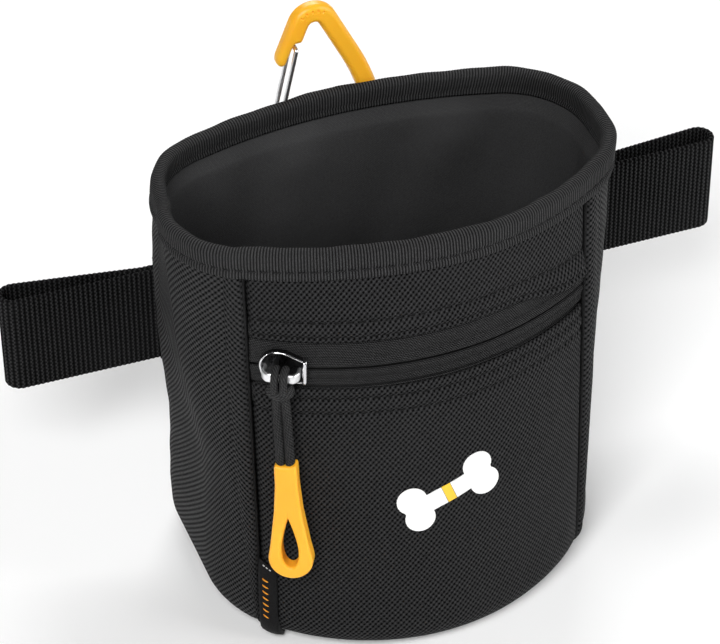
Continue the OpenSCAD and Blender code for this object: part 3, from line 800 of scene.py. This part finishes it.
# ---------------------------------------------------------------- seams and stitching
def wall_normal(s, z):
    """Outward directions at stations s and heights z."""
    s = np.asarray(s, float)
    z = np.broadcast_to(np.asarray(z, float), s.shape)
    up = unit(place(s, z + 0.5, 0) - place(s, z - 0.5, 0))
    return square_to(place(s, z, -1.0) - place(s, z, 0.0), up)


def sew(name, s, z, inset, mat=THREAD, **more):
    """Stitches on the wall."""
    stitches(name, place(s, z, inset), wall_normal(s, z), mat, **more)


def row_front(name, z, lift):
    """Stitches that lie in their groove in the front panel."""
    s, u = FRONT_S[2:-2], FRONT_U[2:-2]
    height = z + lift(u, z)
    sew(name, s, height, front_shape(s, u, 0, np.full(len(s), z)), DARK_THREAD, length=2.3, gap=0.9,
        r=0.27, lift=0.02)


for part, rows, lift in (("lower", ROWS_LOW, lambda u, z: 0), ("upper", ROWS_HIGH, flap_lift)):
    for k, z in enumerate(rows):
        row_front(f"stitch_row_{part}_{k}", z, lift)
sew("stitch_row_binding", ring_stations(0, 12, 1.0, z=BINDING_ROW)[0], BINDING_ROW, -0.70, r=0.2)

# the dark turned-in edge between the front and the side
for label, at in (("left", 11.0), ("right", 1.0)):
    zs = np.concatenate([np.linspace(6, 14, 8), np.arange(17, low + 1, 3.0)])
    cord(f"seam_edge_{label}", relaxed(place(at, zs, 0.95), 1.0, 3), 0.55, PIPING, "pouch", sides=10,
         step=0.5, nodes=f"{label}_seam_piping")


def welt(name, left):
    """The padded roll of the side panel along its seam."""
    s, u = ring_stations(1.0, float(np.interp(5.0, SIDE_U, SIDE_S)), 0.32)
    half = u[-1] / 2
    profile = [(-0.05, z) for z in np.arange(10.5, low + 1.5, 1.2)]
    profile += [(0.6, z) for z in np.arange(low + 1, 10.5, -6)]

    def roll(s, u, inset, z):
        q = clamp(1 - ((u - half) / half) ** 2)
        swell = 1 + 0.06 * waves(z, u, 21, 16)
        return np.where(inset < 0.3, 0.55 - 1.25 * np.sqrt(q) * swell * clamp((z - 9) / 6), 0.4)

    wall(name, 12 - s if left else s, u, profile, TWILL, shape=roll)


welt("seam_welt_right", False)
welt("seam_welt_left", True)
for label, at in (("left", 10.995), ("right", 1.005)):
    zs = np.arange(12, low, 2.0)
    sew(f"stitch_seam_{label}", np.full(len(zs), at), zs, 0.55, length=2.2, gap=1.0, r=0.16)

# ---------------------------------------------------------------- zip
ZIP_S, ZIP_U = ring_stations(-0.985, 0.985, 0.8, z=ZIP_Z)


def tape_shape(s, u, inset, z):
    return 0.05 * waves(u, z, 12, 9)


def tape_profile(sign, fold):
    """From under the panel to the folded edge at the middle line, and back. fold is the height
    of its crease from the middle line."""
    points = [(1.15 + 0.75 * dip(h, fold, 0.7), h) for h in np.arange(11.3, 2.8, -0.35)]
    points += [(0.95, 2.4), (0.72, 1.7), (0.66, 1.1), (0.78, 0.60), (1.15, 0.28), (1.6, 0.43),
               (1.75, 2.5)]
    points += [(1.7 + 0.75 * dip(h, fold, 0.7), h) for h in np.arange(3.0, 11.4, 0.7)]
    points = [(inset, ZIP_Z + sign * h) for inset, h in points]
    return points if sign < 0 else points[::-1]


for name, label, sign, fold in (("top", "upper", 1, 7.6), ("bottom", "lower", -1, 6.0)):
    wall(f"zip_tape_{name}", ZIP_S, ZIP_U, tape_profile(sign, fold), TAPE, shape=tape_shape,
         nodes=f"zip_tape_{label}")
for node, mat in (("zip_coil_upper", COIL), ("zip_coil_lower", COIL), ("zip_stops", STEEL)):
    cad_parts[node].data.materials.clear()
    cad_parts[node].data.materials.append(mat)
for label, z in (("upper", ZIP_Z + 2.9), ("lower", ZIP_Z - 2.9)):
    sew(f"zip_stitch_{label}", ring_stations(-0.97, 0.97, 1.0, z=z)[0], z, 1.02, length=1.3, gap=0.5,
        r=0.13, lift=0.05)

# ---------------------------------------------------------------- slider, cord and pull
REST, LEAN, PULL_LEAN, TILT = 29.1, 5.0, 6.3, 3.1
FACE_UP, FACE_RIGHT = 1.1, 0.2
BAR_Y, BAR_Z, KNOT_Z, CORD_Y = -4.0, -1.0, -5.2, -3.6
PULL_TOP, PULL_L, PULL_W = -26.5, 34.5, 11.5
ZIP_R = lerp(*FRONT_R, ZIP_Z / POUCH_H)
ZIP_CY = ZIP_R - lerp(*FRONT_DEPTH, ZIP_Z / POUCH_H)


def turned(p, a, i, j):
    """Points turned by a degrees from axis i towards axis j."""
    p, q = np.asarray(p, float), np.array(p, float)
    q[..., i] = cosd(a) * p[..., i] - sind(a) * p[..., j]
    q[..., j] = sind(a) * p[..., i] + cosd(a) * p[..., j]
    return q


def at_runner(p):
    return turned(turned(p, -LEAN, 1, 2) + (0, -ZIP_R, ZIP_Z), -REST, 0, 1) + (0, ZIP_CY, 0)


def at_slider(p):
    return at_runner(np.add(p, (FACE_RIGHT, 0, FACE_UP)))


def at_pull(p):
    return at_slider(turned(np.add(p, (0, -BAR_Y, 0)), LEAN - PULL_LEAN, 1, 2) + (0, BAR_Y, 0))


def at_pull_end(p):
    return at_pull(turned(np.add(p, (0, 0, -KNOT_Z)), -TILT, 2, 0) + (0, 0, KNOT_Z))


def arc2(cx, cz, r, a0, a1, n):
    return [(cx + r * cosd(a), cz + r * sind(a)) for a in np.linspace(a0, a1, n + 1)]


def smooth_outline(points, n, rounds=2):
    """A closed outline resampled to n points and softened a little."""
    p = np.array(list(points) + [points[0]], float)
    run = run_of(p)
    q = at_runs(np.linspace(0, run[-1], n, endpoint=False), run, p)
    for _ in range(rounds):
        q = (np.roll(q, 1, axis=0) + 2 * q + np.roll(q, -1, axis=0)) / 4
    return [tuple(v) for v in q]


def on_slider(name, outline, thick, bevel, mid):
    plate(name, [outline], thick, bevel, CHROME, "slider", at_runner, mid=mid)


# the face: a round nose to the left, its crown left of the middle and a slope down to the right
face = arc2(-1.5, 0.4, 4.3, 92, 205, 20) + arc2(-2.4, -0.9, 3.3, 215, 268, 8)
face += arc2(4.9, -3.3, 0.7, -90, 0, 4) + arc2(5.0, 2.1, 0.6, 0, 75, 4)
face = smooth_outline(face + [(3.4, 3.3), (1.8, 4.1), (0.3, 4.6)], 120)
FACE_MID = np.array([-0.3, 0.5])
dome = []
for share, rise in ((1.0, -0.5), (1.0, 0.7), (0.97, 1.0), (0.90, 1.0), (0.83, 0.6), (0.74, 0.35),
                    (0.35, 0.3), (0.03, 0.3)):
    dome.append([(x, -rise, z) for x, z in FACE_MID + (np.array(face) - FACE_MID) * share])
# the face is the slider's chrome, darkened as painted dark reflection
tube("slider_face", at_slider(dome), CHROME_DARK_REFLECTION, "slider", nodes="zip_slider")
rim = [(x * 0.96, -0.95, z * 0.95) for x, z in face[8:] + face[:3]]
cord("slider_rim", relaxed(at_slider(rim), 0.3, 0.5), 0.30, CHROME, "slider", sides=14, step=0.3)
back_plate = arc2(-1.35, 0, 4.0, 90, 270, 20) + arc2(4.55, -3.2, 0.8, -90, 0, 4)
on_slider("slider_back", back_plate + arc2(4.55, 3.2, 0.8, 0, 90, 4), 1.0, 0.3, 3.9)
post = [(-3, -0.3), (-1, -0.3), (-1, 0.5), (-3, 0.5)]
on_slider("slider_post", smooth_outline(post, 16, 0), 3.4, 0.1, 2.0)
bail = [(-4.3, -0.2, BAR_Z), (-4.5, -2.6, BAR_Z), (-3.4, BAR_Y, BAR_Z), (3.2, BAR_Y, BAR_Z),
        (4.2, -2.6, BAR_Z), (4.2, -0.2, BAR_Z)]
strap("slider_bail", relaxed(at_slider(bail), 0.1, 0.9), at_slider((0, 0, 1)) - at_slider((0, 0, 0)),
      2.6, 1.0, SATIN_METAL, "slider", rib_h=0.0, step=0.2, columns=8, edge_pts=7)
end_plate = [(5.1, 0.2), (5.1, -1.8), (5.3, -2.2), (6.0, -2.2), (6.2, -1.8), (6.2, 0.2)]
end_plate = [[(x, y, z) for x, y in end_plate] for z in np.linspace(2.9, -3.5, 12)]
tube("slider_end_plate", at_slider(end_plate), CHROME, "slider")


def strand(x):
    """One side of the lark's head: up from the knot, over the bar and down again."""
    pts = [(x * 0.85, CORD_Y - 1.0, KNOT_Z - 0.2), (x, BAR_Y - 2.2, -2.8)]
    pts += [(x, BAR_Y + 2.4 * sind(a), BAR_Z + 2.4 * cosd(a)) for a in np.linspace(-100, 100, 22)]
    return pts + [(x, BAR_Y + 2.2, -2.6), (x * 0.85, CORD_Y + 0.9, KNOT_Z - 0.2)]


def drop(x):
    """One of the two cords from the knot down into the pull end."""
    return [(x * 0.75, CORD_Y, KNOT_Z - 1.0), (x * 0.95, CORD_Y - 0.1, KNOT_Z - 4), (x, CORD_Y, -16),
            (x * 1.05, CORD_Y, PULL_TOP - 3)]


for sign, label, loop_node, pull_node in ((-1, "left", "cord_loop", "pull_cord"), (1, "right", "", "")):
    cord(f"cord_over_bar_{label}", relaxed(at_pull(strand(sign * 1.1)), 0.2, 0.8), 1.0, YARN,
         "pull_loop", sides=20, step=0.2, lay=2.2, lay_h=0.05, nodes=loop_node)
    hanging = cord(f"pull_cord_{label}", relaxed(at_pull_end(drop(sign * 1.17)), 0.2, 3), 1.22, YARN,
                   None, sides=24, step=0.2, lay=2.4, lay_h=0.06, nodes=pull_node)
    bend = at_pull_end([(0, CORD_Y, KNOT_Z + 0.5), (0, CORD_Y, KNOT_Z - 9)]) * MM
    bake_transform(hanging)

ring = []
for a in np.linspace(0, 360, 60, endpoint=False):
    high = KNOT_Z - 0.3 + abs(cosd(a)) ** 1.5 + 0.5 * max(0.0, -sind(a))
    ring.append((2.75 * cosd(a), CORD_Y + 1.9 * sind(a) - 0.2, high))
ring = at_pull(ring)
along = unit(np.roll(ring, -1, axis=0) - np.roll(ring, 1, axis=0))
out = square_to(ring - ring.mean(axis=0), along)
a = np.linspace(0, 2 * PI, 16, endpoint=False)
band = swept(ring, out, np.cross(along, out), 0.8 * np.cos(a), 1.6 * np.sin(a))
tube("cord_knot_band", band, YARN, "pull_loop", closed=True)

EYE_Z = PULL_TOP - PULL_L + PULL_W / 2
outer = [(x, PULL_TOP + up) for x, up in
         ((3.1, -0.1), (2.8, 0.45), (2.4, 0.45), (2.0, 0.05), (0, -0.1), (-1.8, 0.05), (-2.1, 0.45),
          (-2.4, 0.45), (-2.7, -0.1), (-2.8, -6), (-3.5, -14))]
outer += [(-5.0, EYE_Z + 4.5)] + arc2(0, EYE_Z, PULL_W / 2, 165, 375, 34) + [(5.0, EYE_Z + 4.5)]
outer += [(3.6, PULL_TOP - 14), (3.1, PULL_TOP - 6)]
HOLE_MID, HOLE_HALF, HOLE_W = EYE_Z + 5.25, 7.55, 2.9
hole = [(HOLE_W * sind(a) * sind(a / 2) ** 1.2, HOLE_MID + HOLE_HALF * cosd(a))
        for a in np.linspace(0, 360, 80, endpoint=False)]
plate("pull_end_moulding", [smooth_outline(outer, 190), hole], 4.2, 0.8, ORANGE_SOFT, "pull",
      at_pull_end, segments=5, mid=CORD_Y, nodes="pull_end")

# ---------------------------------------------------------------- label
LABEL_IN = 0.25
label_rings = []
for s in np.linspace(-0.985, -0.885, 9):
    q = (s + 0.985) / 0.1
    swell = math.sin(PI * q)
    outside, inside = [], []
    for a in np.linspace(38, 90, 9):
        outside += bottom_turn(-(1.25 + 0.35 * swell + 0.5 * dip(a, 55, 16)), [math.radians(a)])
        inside += bottom_turn(-LABEL_IN, [math.radians(a)])
    for z in np.linspace(11, 28.6 - 3.4 * q, 9):
        outside.append((-(1.25 + 0.3 * swell - 0.55 * clamp((z - 20) / 7.5)), z))
        inside.append((-LABEL_IN, z))
    label_rings.append([place(s, z, inset) for inset, z in outside + inside[::-1]])
tube("label_tab_fold", label_rings, SATIN, "pouch", nodes="label_tab")
sew("label_bar_tack", np.linspace(-0.964, -0.908, 6), np.linspace(27.1, 25.3, 6), -0.98,
    PALE_THREAD, length=0.85, gap=0.15, r=0.17)
for k, z in enumerate(np.linspace(22, 9.5, 7)):
    sew(f"label_dash_{k}", np.linspace(-0.966, -0.918, 5), np.linspace(z + 0.6, z - 0.6, 5),
        -1.58 + 0.045 * max(0, z - 20), ORANGE_THREAD, length=2.0, gap=0.2, r=0.2, lift=0.05)

# ---------------------------------------------------------------- print
PRINT_X, PRINT_Z, PRINT_TURN = 1, 49, 20
INK_H, INK_UNDER = 0.20, 0.15
BONE_HALF, KNOB_R, KNOB_UP = 9.5, 4.0, 3.0


def on_front(x, z):
    """The station whose point at height z has this x, on the front."""
    t = z / POUCH_H
    return np.arcsin(np.clip(x / lerp(*FRONT_R, t), -1, 1)) / seam_angle(t)


def printed(name, outlines, mat, node):
    """Ink on the front panel: a raised skin cut to the outlines, in squares so that it can bend."""
    mesh = filled(name, outlines)
    bm = bmesh.new()
    bm.from_mesh(mesh)
    bmesh.ops.remove_doubles(bm, verts=bm.verts, dist=1e-5)
    for axis in ((1, 0, 0), (0, 1, 0)):
        for c in np.arange(-16, 16.1, 1.0):
            geom = bm.verts[:] + bm.edges[:] + bm.faces[:]
            bmesh.ops.bisect_plane(bm, geom=geom, plane_co=Vector(axis) * float(c), plane_no=axis)
    for made in bmesh.ops.extrude_face_region(bm, geom=bm.faces[:])["geom"]:
        if isinstance(made, bmesh.types.BMVert):
            made.co.z = 1.0
    c, s = cosd(PRINT_TURN), sind(PRINT_TURN)
    for v in bm.verts:
        x = PRINT_X + v.co.x * c - v.co.y * s
        z = PRINT_Z + v.co.x * s + v.co.y * c
        station = float(on_front(x, z))
        inset = front_waves(station * EDGE_U, z) - (INK_H if v.co.z > 0.5 else -INK_UNDER)
        v.co = Vector(place(station, z, inset) * MM)
    bmesh.ops.recalc_face_normals(bm, faces=bm.faces)
    bm.to_mesh(mesh)
    bm.free()
    mesh.materials.clear()
    mesh.materials.append(mat)
    claim(linked(name, mesh), "pouch", node)


# a plain bone: a shaft with two knobs at each end
bone = []
for x, z, a0, a1 in ((-1, 1, -5, 221), (-1, -1, 139, 365), (1, -1, 175, 401), (1, 1, -41, 185)):
    bone += arc2(x * BONE_HALF, z * KNOB_UP, KNOB_R, a0, a1, 18)


def clip_bone(x0, x1):
    """The part of the bone between two x values, as one outline."""
    poly = bone
    for sign, limit in ((1, x1), (-1, -x0)):
        kept = []
        for i, (x, y) in enumerate(poly):
            px, py = poly[i - 1]
            if (sign * px <= limit) != (sign * x <= limit):
                t = (sign * limit - px) / (x - px)
                kept.append((sign * limit, py + t * (y - py)))
            if sign * x <= limit:
                kept.append((x, y))
        poly = kept
    return poly


printed("print_bone", [clip_bone(-20, -1.3), clip_bone(1.3, 20)], PRINT_WHITE, "bone_print")
printed("print_collar", [clip_bone(-1.2, 1.2)], PRINT_YELLOW, "print_band")

# ---------------------------------------------------------------- belt
BELT_W, BELT_T, BELT_MID_Z = 30.0, 1.7, 57.0
BACK_Y, LAYER_GAP = 46.2, 0.2
LAYER_IN, LAYER_OUT = BACK_Y + BELT_T / 2, BACK_Y + LAYER_GAP + BELT_T * 1.5
BELT_OUT_Y = BACK_Y + 2 * BELT_T + LAYER_GAP
BUCKLE_Y = BELT_OUT_Y + 0.5 + 3.8
LOOP_END, LEG = 4.4, 20.5


def loop_side(sign, reach):
    """From the outer layer round the end and back to the inner layer."""
    cx, cy, r = reach - LOOP_END, (LAYER_IN + LAYER_OUT) / 2 + 3, LOOP_END - BELT_T / 2
    pts = [(52, LAYER_OUT)]
    pts += [(cx + r * sind(a), cy + r * cosd(a)) for a in np.linspace(-8, 188, 24)] + [(52, LAYER_IN)]
    return [(sign * x, y, BELT_MID_Z) for x, y in pts]


leg = [(LEG, BUCKLE_Y + 3.2, BELT_MID_Z), (LEG, LAYER_OUT, BELT_MID_Z)]
belt = leg + loop_side(1, 117) + loop_side(-1, 91)[::-1] + [(-x, y, z) for x, y, z in leg[::-1]]
strap("belt_webbing", relaxed(belt, 0.2, 1.2), (0, 0, 1), BELT_W, BELT_T - 0.1, WEBBING, "belt",
      nodes="belt")


def keeper(name, s0, s1, nodes=""):
    """A strap sewn to the back at both ends, standing out round the doubled belt."""
    mid = (s0 + s1) / 2
    low, high = BELT_MID_Z - 16.2, BELT_MID_Z + 16.2
    x = float(place(mid, BELT_MID_Z, 0)[0])
    pts = [place(mid, z, -0.7) for z in (low - 11, low - 4.5)]
    pts += [(x, BELT_OUT_Y + 0.9, z) for z in (low, BELT_MID_Z, high)]
    pts += [place(mid, z, -0.7) for z in (high + 4.5, high + 10)]
    width = float(np.linalg.norm(place(s0, BELT_MID_Z, 0) - place(s1, BELT_MID_Z, 0)))
    p = relaxed(pts, 0.2, 1.8)
    normal = unit(place(mid, BELT_MID_Z, -1) - place(mid, BELT_MID_Z, 0))
    foot = np.cross(normal, (0, 0, 1))
    over = clamp((20.5 - np.abs(p[:, 2] - BELT_MID_Z)) / 4.5)[:, None]
    flat = np.array([math.copysign(1, foot[0]), 0, 0])
    strap(name, p, foot * (1 - over) + flat * over, width, 1.1, WEBBING, "pouch", rib=1.0,
          rib_h=0.06, columns=8, nodes=nodes)
    a, b = lerp(s0, s1, 0.12), lerp(s0, s1, 0.88)
    for z0, z1, label in ((low - 10, low - 5.5, "low"), (high + 5.2, high + 9.3, "high")):
        box = [(a, z0), (b, z0), (b, z1), (a, z1), (a, z0), (b, z1), (b, z0), (a, z1)]
        line, _ = polyline([place(s, z, -1.28) for s, z in box], 0.5)
        stitches(f"{name}_stitch_{label}", line, normal, THREAD, length=1.8, gap=0.5, r=0.2)


keeper("belt_keeper_right", 4.64, 5.08, "belt_keepers")
keeper("belt_keeper_left", 6.92, 7.36)


def at_buckle(p):
    return np.add(p, (0, BUCKLE_Y, BELT_MID_Z))


def softened(points, rounds=5):
    """The outline with its corners rounded."""
    length = run_of(np.array(list(points) + [points[0]], float))[-1]
    return smooth_outline(points, int(length / 0.45), rounds)


def slot_at(x):
    """The long hole for the belt, 3 mm wide."""
    return softened([(x, -15.4), (x + 3, -15.4), (x + 3, 15.4), (x, 15.4)], 2)


def mirrored(points, rounds=5):
    """A softened outline from its upper half."""
    return softened(points + [(x, -z) for x, z in reversed(points)], rounds)


def black(name, outlines, thick, bevel, body="belt", mid=0.0, nodes=""):
    plate(name, outlines, thick, bevel, BLACK_HARD, body, at_buckle, mid=mid, nodes=nodes)


HOUSING = mirrored([(-26, 16.5), (-23, 19), (-10.5, 19), (-8.5, 17.4), (2.5, 17.4), (4, 19), (6, 19)])
WINDOW = mirrored([(-13, 7), (-11, 9.5), (0, 9.5), (2, 7)], 8)
PANEL = mirrored([(-13.6, 7.6), (-11.4, 10.1), (0.4, 10.1), (2.6, 7.6)], 8)
for side, label, nodes in ((-1, "front", "buckle_female"), (1, "back", "")):
    black(f"buckle_housing_{label}", [HOUSING, slot_at(-22), WINDOW], 1.3, 0.5, mid=3.15 * side,
          nodes=nodes)
    black(f"buckle_panel_{label}", [PANEL], 0.9, 0.3, mid=2.9925 * side)
    for k, x in enumerate((10.2, 12.4, 14.6)):
        black(f"buckle_grip_{label}_{k}", [mirrored([(x - 0.55, 10), (x + 0.55, 10)], 3)], 0.7, 0.25,
              mid=3.7 * side)
black("buckle_housing_core", [mirrored([(-25.4, 15.5), (-22.5, 18.4), (-13, 18.4)]), slot_at(-22)],
      5.4, 0.3)
black("buckle_tongue_plate", [mirrored([(6.3, 18), (22.5, 18), (26, 15.5)]), slot_at(19)], 7.4, 1.3,
      nodes="buckle_male")
black("buckle_tongue", [mirrored([(-11, 0.9), (-10, 2), (7, 2)], 3)], 4, 0.5)

prong = [(8.5, 9.7), (8.5, 12.3), (1.6, 12.3), (1.6, 18.1)]
for x in np.arange(1.0, -6.4, -1.5):
    prong += [(x, 18.5), (x - 0.75, 17.9)]
prong += [(-7.4, 16.5), (-7.4, 10.2), (-6.5, 9.8)]
for label, sign, low, high in (("upper", 1, 15, 18.5), ("lower", -1, -18.5, -15)):
    for x0, x1, part in ((-13.5, -9, "rear"), (3, 5.7, "mouth")):
        black(f"buckle_rail_{label}_{part}",
              [softened([(x0, low), (x1, low), (x1, high), (x0, high)], 2)], 5.4, 0.3)
    black(f"buckle_prong_{label}", [softened([(x, sign * z) for x, z in prong], 1)], 4, 0.5,
          body=f"{label}_prong", nodes=f"prong_{label}")

# ---------------------------------------------------------------- carabiner
CARA_Y, FOOT_Z = 46.6, 89.0
TOP_C, TOP_R = (-3.2, 138.7), 4.2
NOSE_A, SPINE_A, SPINE_R, SPINE_STRAIGHT = 22.0, 27.0, 67.0, 14.0
BAR_HALF, RIGHT_R, LEFT_R = 2.6, 9, 6.5
GATE_X, GATE_Z = -16.6, 98.0
spine_start = (TOP_C[0] + TOP_R * cosd(SPINE_A) + SPINE_STRAIGHT * sind(SPINE_A),
               TOP_C[1] + TOP_R * sind(SPINE_A) - SPINE_STRAIGHT * cosd(SPINE_A))
spine_c = (spine_start[0] - SPINE_R * cosd(SPINE_A), spine_start[1] - SPINE_R * sind(SPINE_A))
nose_top = (TOP_C[0] - TOP_R * cosd(NOSE_A), TOP_C[1] + TOP_R * sind(NOSE_A))


def on_nose(down, aside):
    """A point this far down the nose and this far to its inner side."""
    return (nose_top[0] - down * sind(NOSE_A) + aside * cosd(NOSE_A),
            nose_top[1] - down * cosd(NOSE_A) - aside * sind(NOSE_A))


def bar_edge(off):
    """The frame's middle line moved outwards, from the nose round to the gate's pivot."""
    pts = arc2(*TOP_C, TOP_R + off, 180 - NOSE_A, SPINE_A, 18)
    pts += arc2(*spine_c, SPINE_R + off, SPINE_A, 0, 10)
    pts += arc2(spine_c[0] + SPINE_R - RIGHT_R, FOOT_Z + RIGHT_R, RIGHT_R + off, 0, -90, 12)
    return pts + arc2(GATE_X + LEFT_R, FOOT_Z + LEFT_R, LEFT_R + off, -90, -180, 10)


def at_cara(p):
    return np.add(p, (0, CARA_Y, 0))


cara = bar_edge(BAR_HALF) + arc2(GATE_X, GATE_Z + 1, BAR_HALF, 180, 0, 12) + bar_edge(-BAR_HALF)[::-1]
cara += [on_nose(*at) for at in ((4.7, BAR_HALF), (5.1, 2.2), (5.5, 1.0), (6.1, 0.6), (12.0, 0.5),
                                 (12.6, -0.1), (12.8, -1.1), (12.1, -2.1), (10.6, -BAR_HALF))]
DENT_R = TOP_R + 0.95
dents = [((TOP_C[0] + DENT_R * cosd(a), TOP_C[1] + DENT_R * sind(a)), a)
         for a in (133, 114, 96, 79, 62)]
plate("carabiner_frame", [smooth_outline(cara, 520, 1)], 4.2, 1.5, ORANGE_HARD, "carabiner", at_cara,
      segments=5, dents=dents, nodes="carabiner_body")
PIN_X, PIN_Z = on_nose(6.8, 1.25)
wire = [(GATE_X, 0.2, GATE_Z), (GATE_X, 2.3, GATE_Z), (PIN_X, 2.3, PIN_Z), (PIN_X, -2.3, PIN_Z),
        (GATE_X, -2.3, GATE_Z), (GATE_X, -0.2, GATE_Z)]
cord("gate_wire", relaxed(at_cara(wire), 0.15, 0.9), 0.62, STEEL, "gate", sides=14, step=0.2,
     nodes="carabiner_gate")

tab = [place(6, z, -0.6) for z in np.linspace(73.5, 83, 8)] + [(0, 42.0, 85.0)]
tab += [(0, CARA_Y + 4.4 * sind(a), FOOT_Z - 4.4 * cosd(a)) for a in np.linspace(-60, 230, 40)]
strap("carabiner_tab_loop", relaxed(tab, 0.2, 0.8), (1, 0, 0), 12.0, 1.0, WEBBING, "pouch", rib=1.0,
      rib_h=0.06, columns=8, nodes="carabiner_tab")

# ---------------------------------------------------------------- stage, light, camera
floor = linked("floor", bpy.data.meshes.new("floor"))
floor.data.from_pydata([(-6, -6, 0), (6, -6, 0), (6, 6, 0), (-6, 6, 0)], [], [(0, 1, 2, 3)])
floor.location.z = -0.0003
sh = Shader("floor_paper", rough=0.9, spec=0.1)
sh.set("Base Color", (0.93, 0.93, 0.93))
sh.set("Emission Color", (1.0, 1.0, 1.0))
x, y, _ = sh.split(sh.obj)
reach = sh.op("SQRT", sh.add(sh.mul(x, x), sh.mul(y, y)))
camera_ray = sh.node("LightPath", out="Is Camera Ray")
sh.set("Emission Strength", sh.add(0.05, sh.mul(camera_ray, sh.fit(reach, 0.5, 1.3, 0.0, 0.9))))
floor.data.materials.append(sh.mat)

# the world is plain white to the camera, and dim, brighter from above, to everything else
world = bpy.data.worlds.new("studio")
world.use_nodes = True
back = world.node_tree.nodes["Background"]
back.inputs[0].default_value = (1, 1, 1, 1)
coords, parts, level, seen, pick = (world.node_tree.nodes.new("ShaderNode" + kind) for kind in
                                    ("TexCoord", "SeparateXYZ", "MapRange", "LightPath", "Mix"))
for k, value in enumerate((0.0, 0.9, 0.031, 0.055), 1):
    level.inputs[k].default_value = value
pick.inputs[3].default_value = 1.0
for out, into in ((coords.outputs["Generated"], parts.inputs[0]), (parts.outputs[2], level.inputs[0]),
                  (seen.outputs["Is Camera Ray"], pick.inputs[0]), (level.outputs[0], pick.inputs[2]),
                  (pick.outputs[0], back.inputs[1])):
    world.node_tree.links.new(out, into)
bpy.context.scene.world = world

for name, at, aim, size, power in (("key", (-0.55, -0.75, 0.95), (0, 0, 0.07), (0.6, 0.6), 15),
                                   ("fill", (0.85, -0.55, 0.55), (0, 0, 0.06), (0.7, 0.7), 7),
                                   ("rim", (0.25, 0.95, 0.8), (0, 0, 0.09), (0.7, 0.4), 9)):
    light = bpy.data.lights.new(name, "AREA")
    light.shape = "RECTANGLE"
    light.size, light.size_y = size
    light.energy = power
    lamp = linked(name, light)
    lamp.location = at
    lamp.rotation_euler = (Vector(aim) - Vector(at)).to_track_quat("-Z", "Y").to_euler()

AZ, EL, DISTANCE = -21.05, 39.2, 0.832
aim = Vector((0, 0, 0.066))
camera = linked("camera", bpy.data.cameras.new("camera"))
camera.data.sensor_width, camera.data.lens = 36, 159.8
camera.data.shift_x, camera.data.shift_y = -0.041, 0.038
camera.location = aim + DISTANCE * Vector((sind(AZ) * cosd(EL), -cosd(AZ) * cosd(EL), sind(EL)))
camera.rotation_euler = (aim - camera.location).to_track_quat("-Z", "Y").to_euler()
bpy.context.scene.camera = camera
bpy.context.scene.view_settings.view_transform = "Standard"
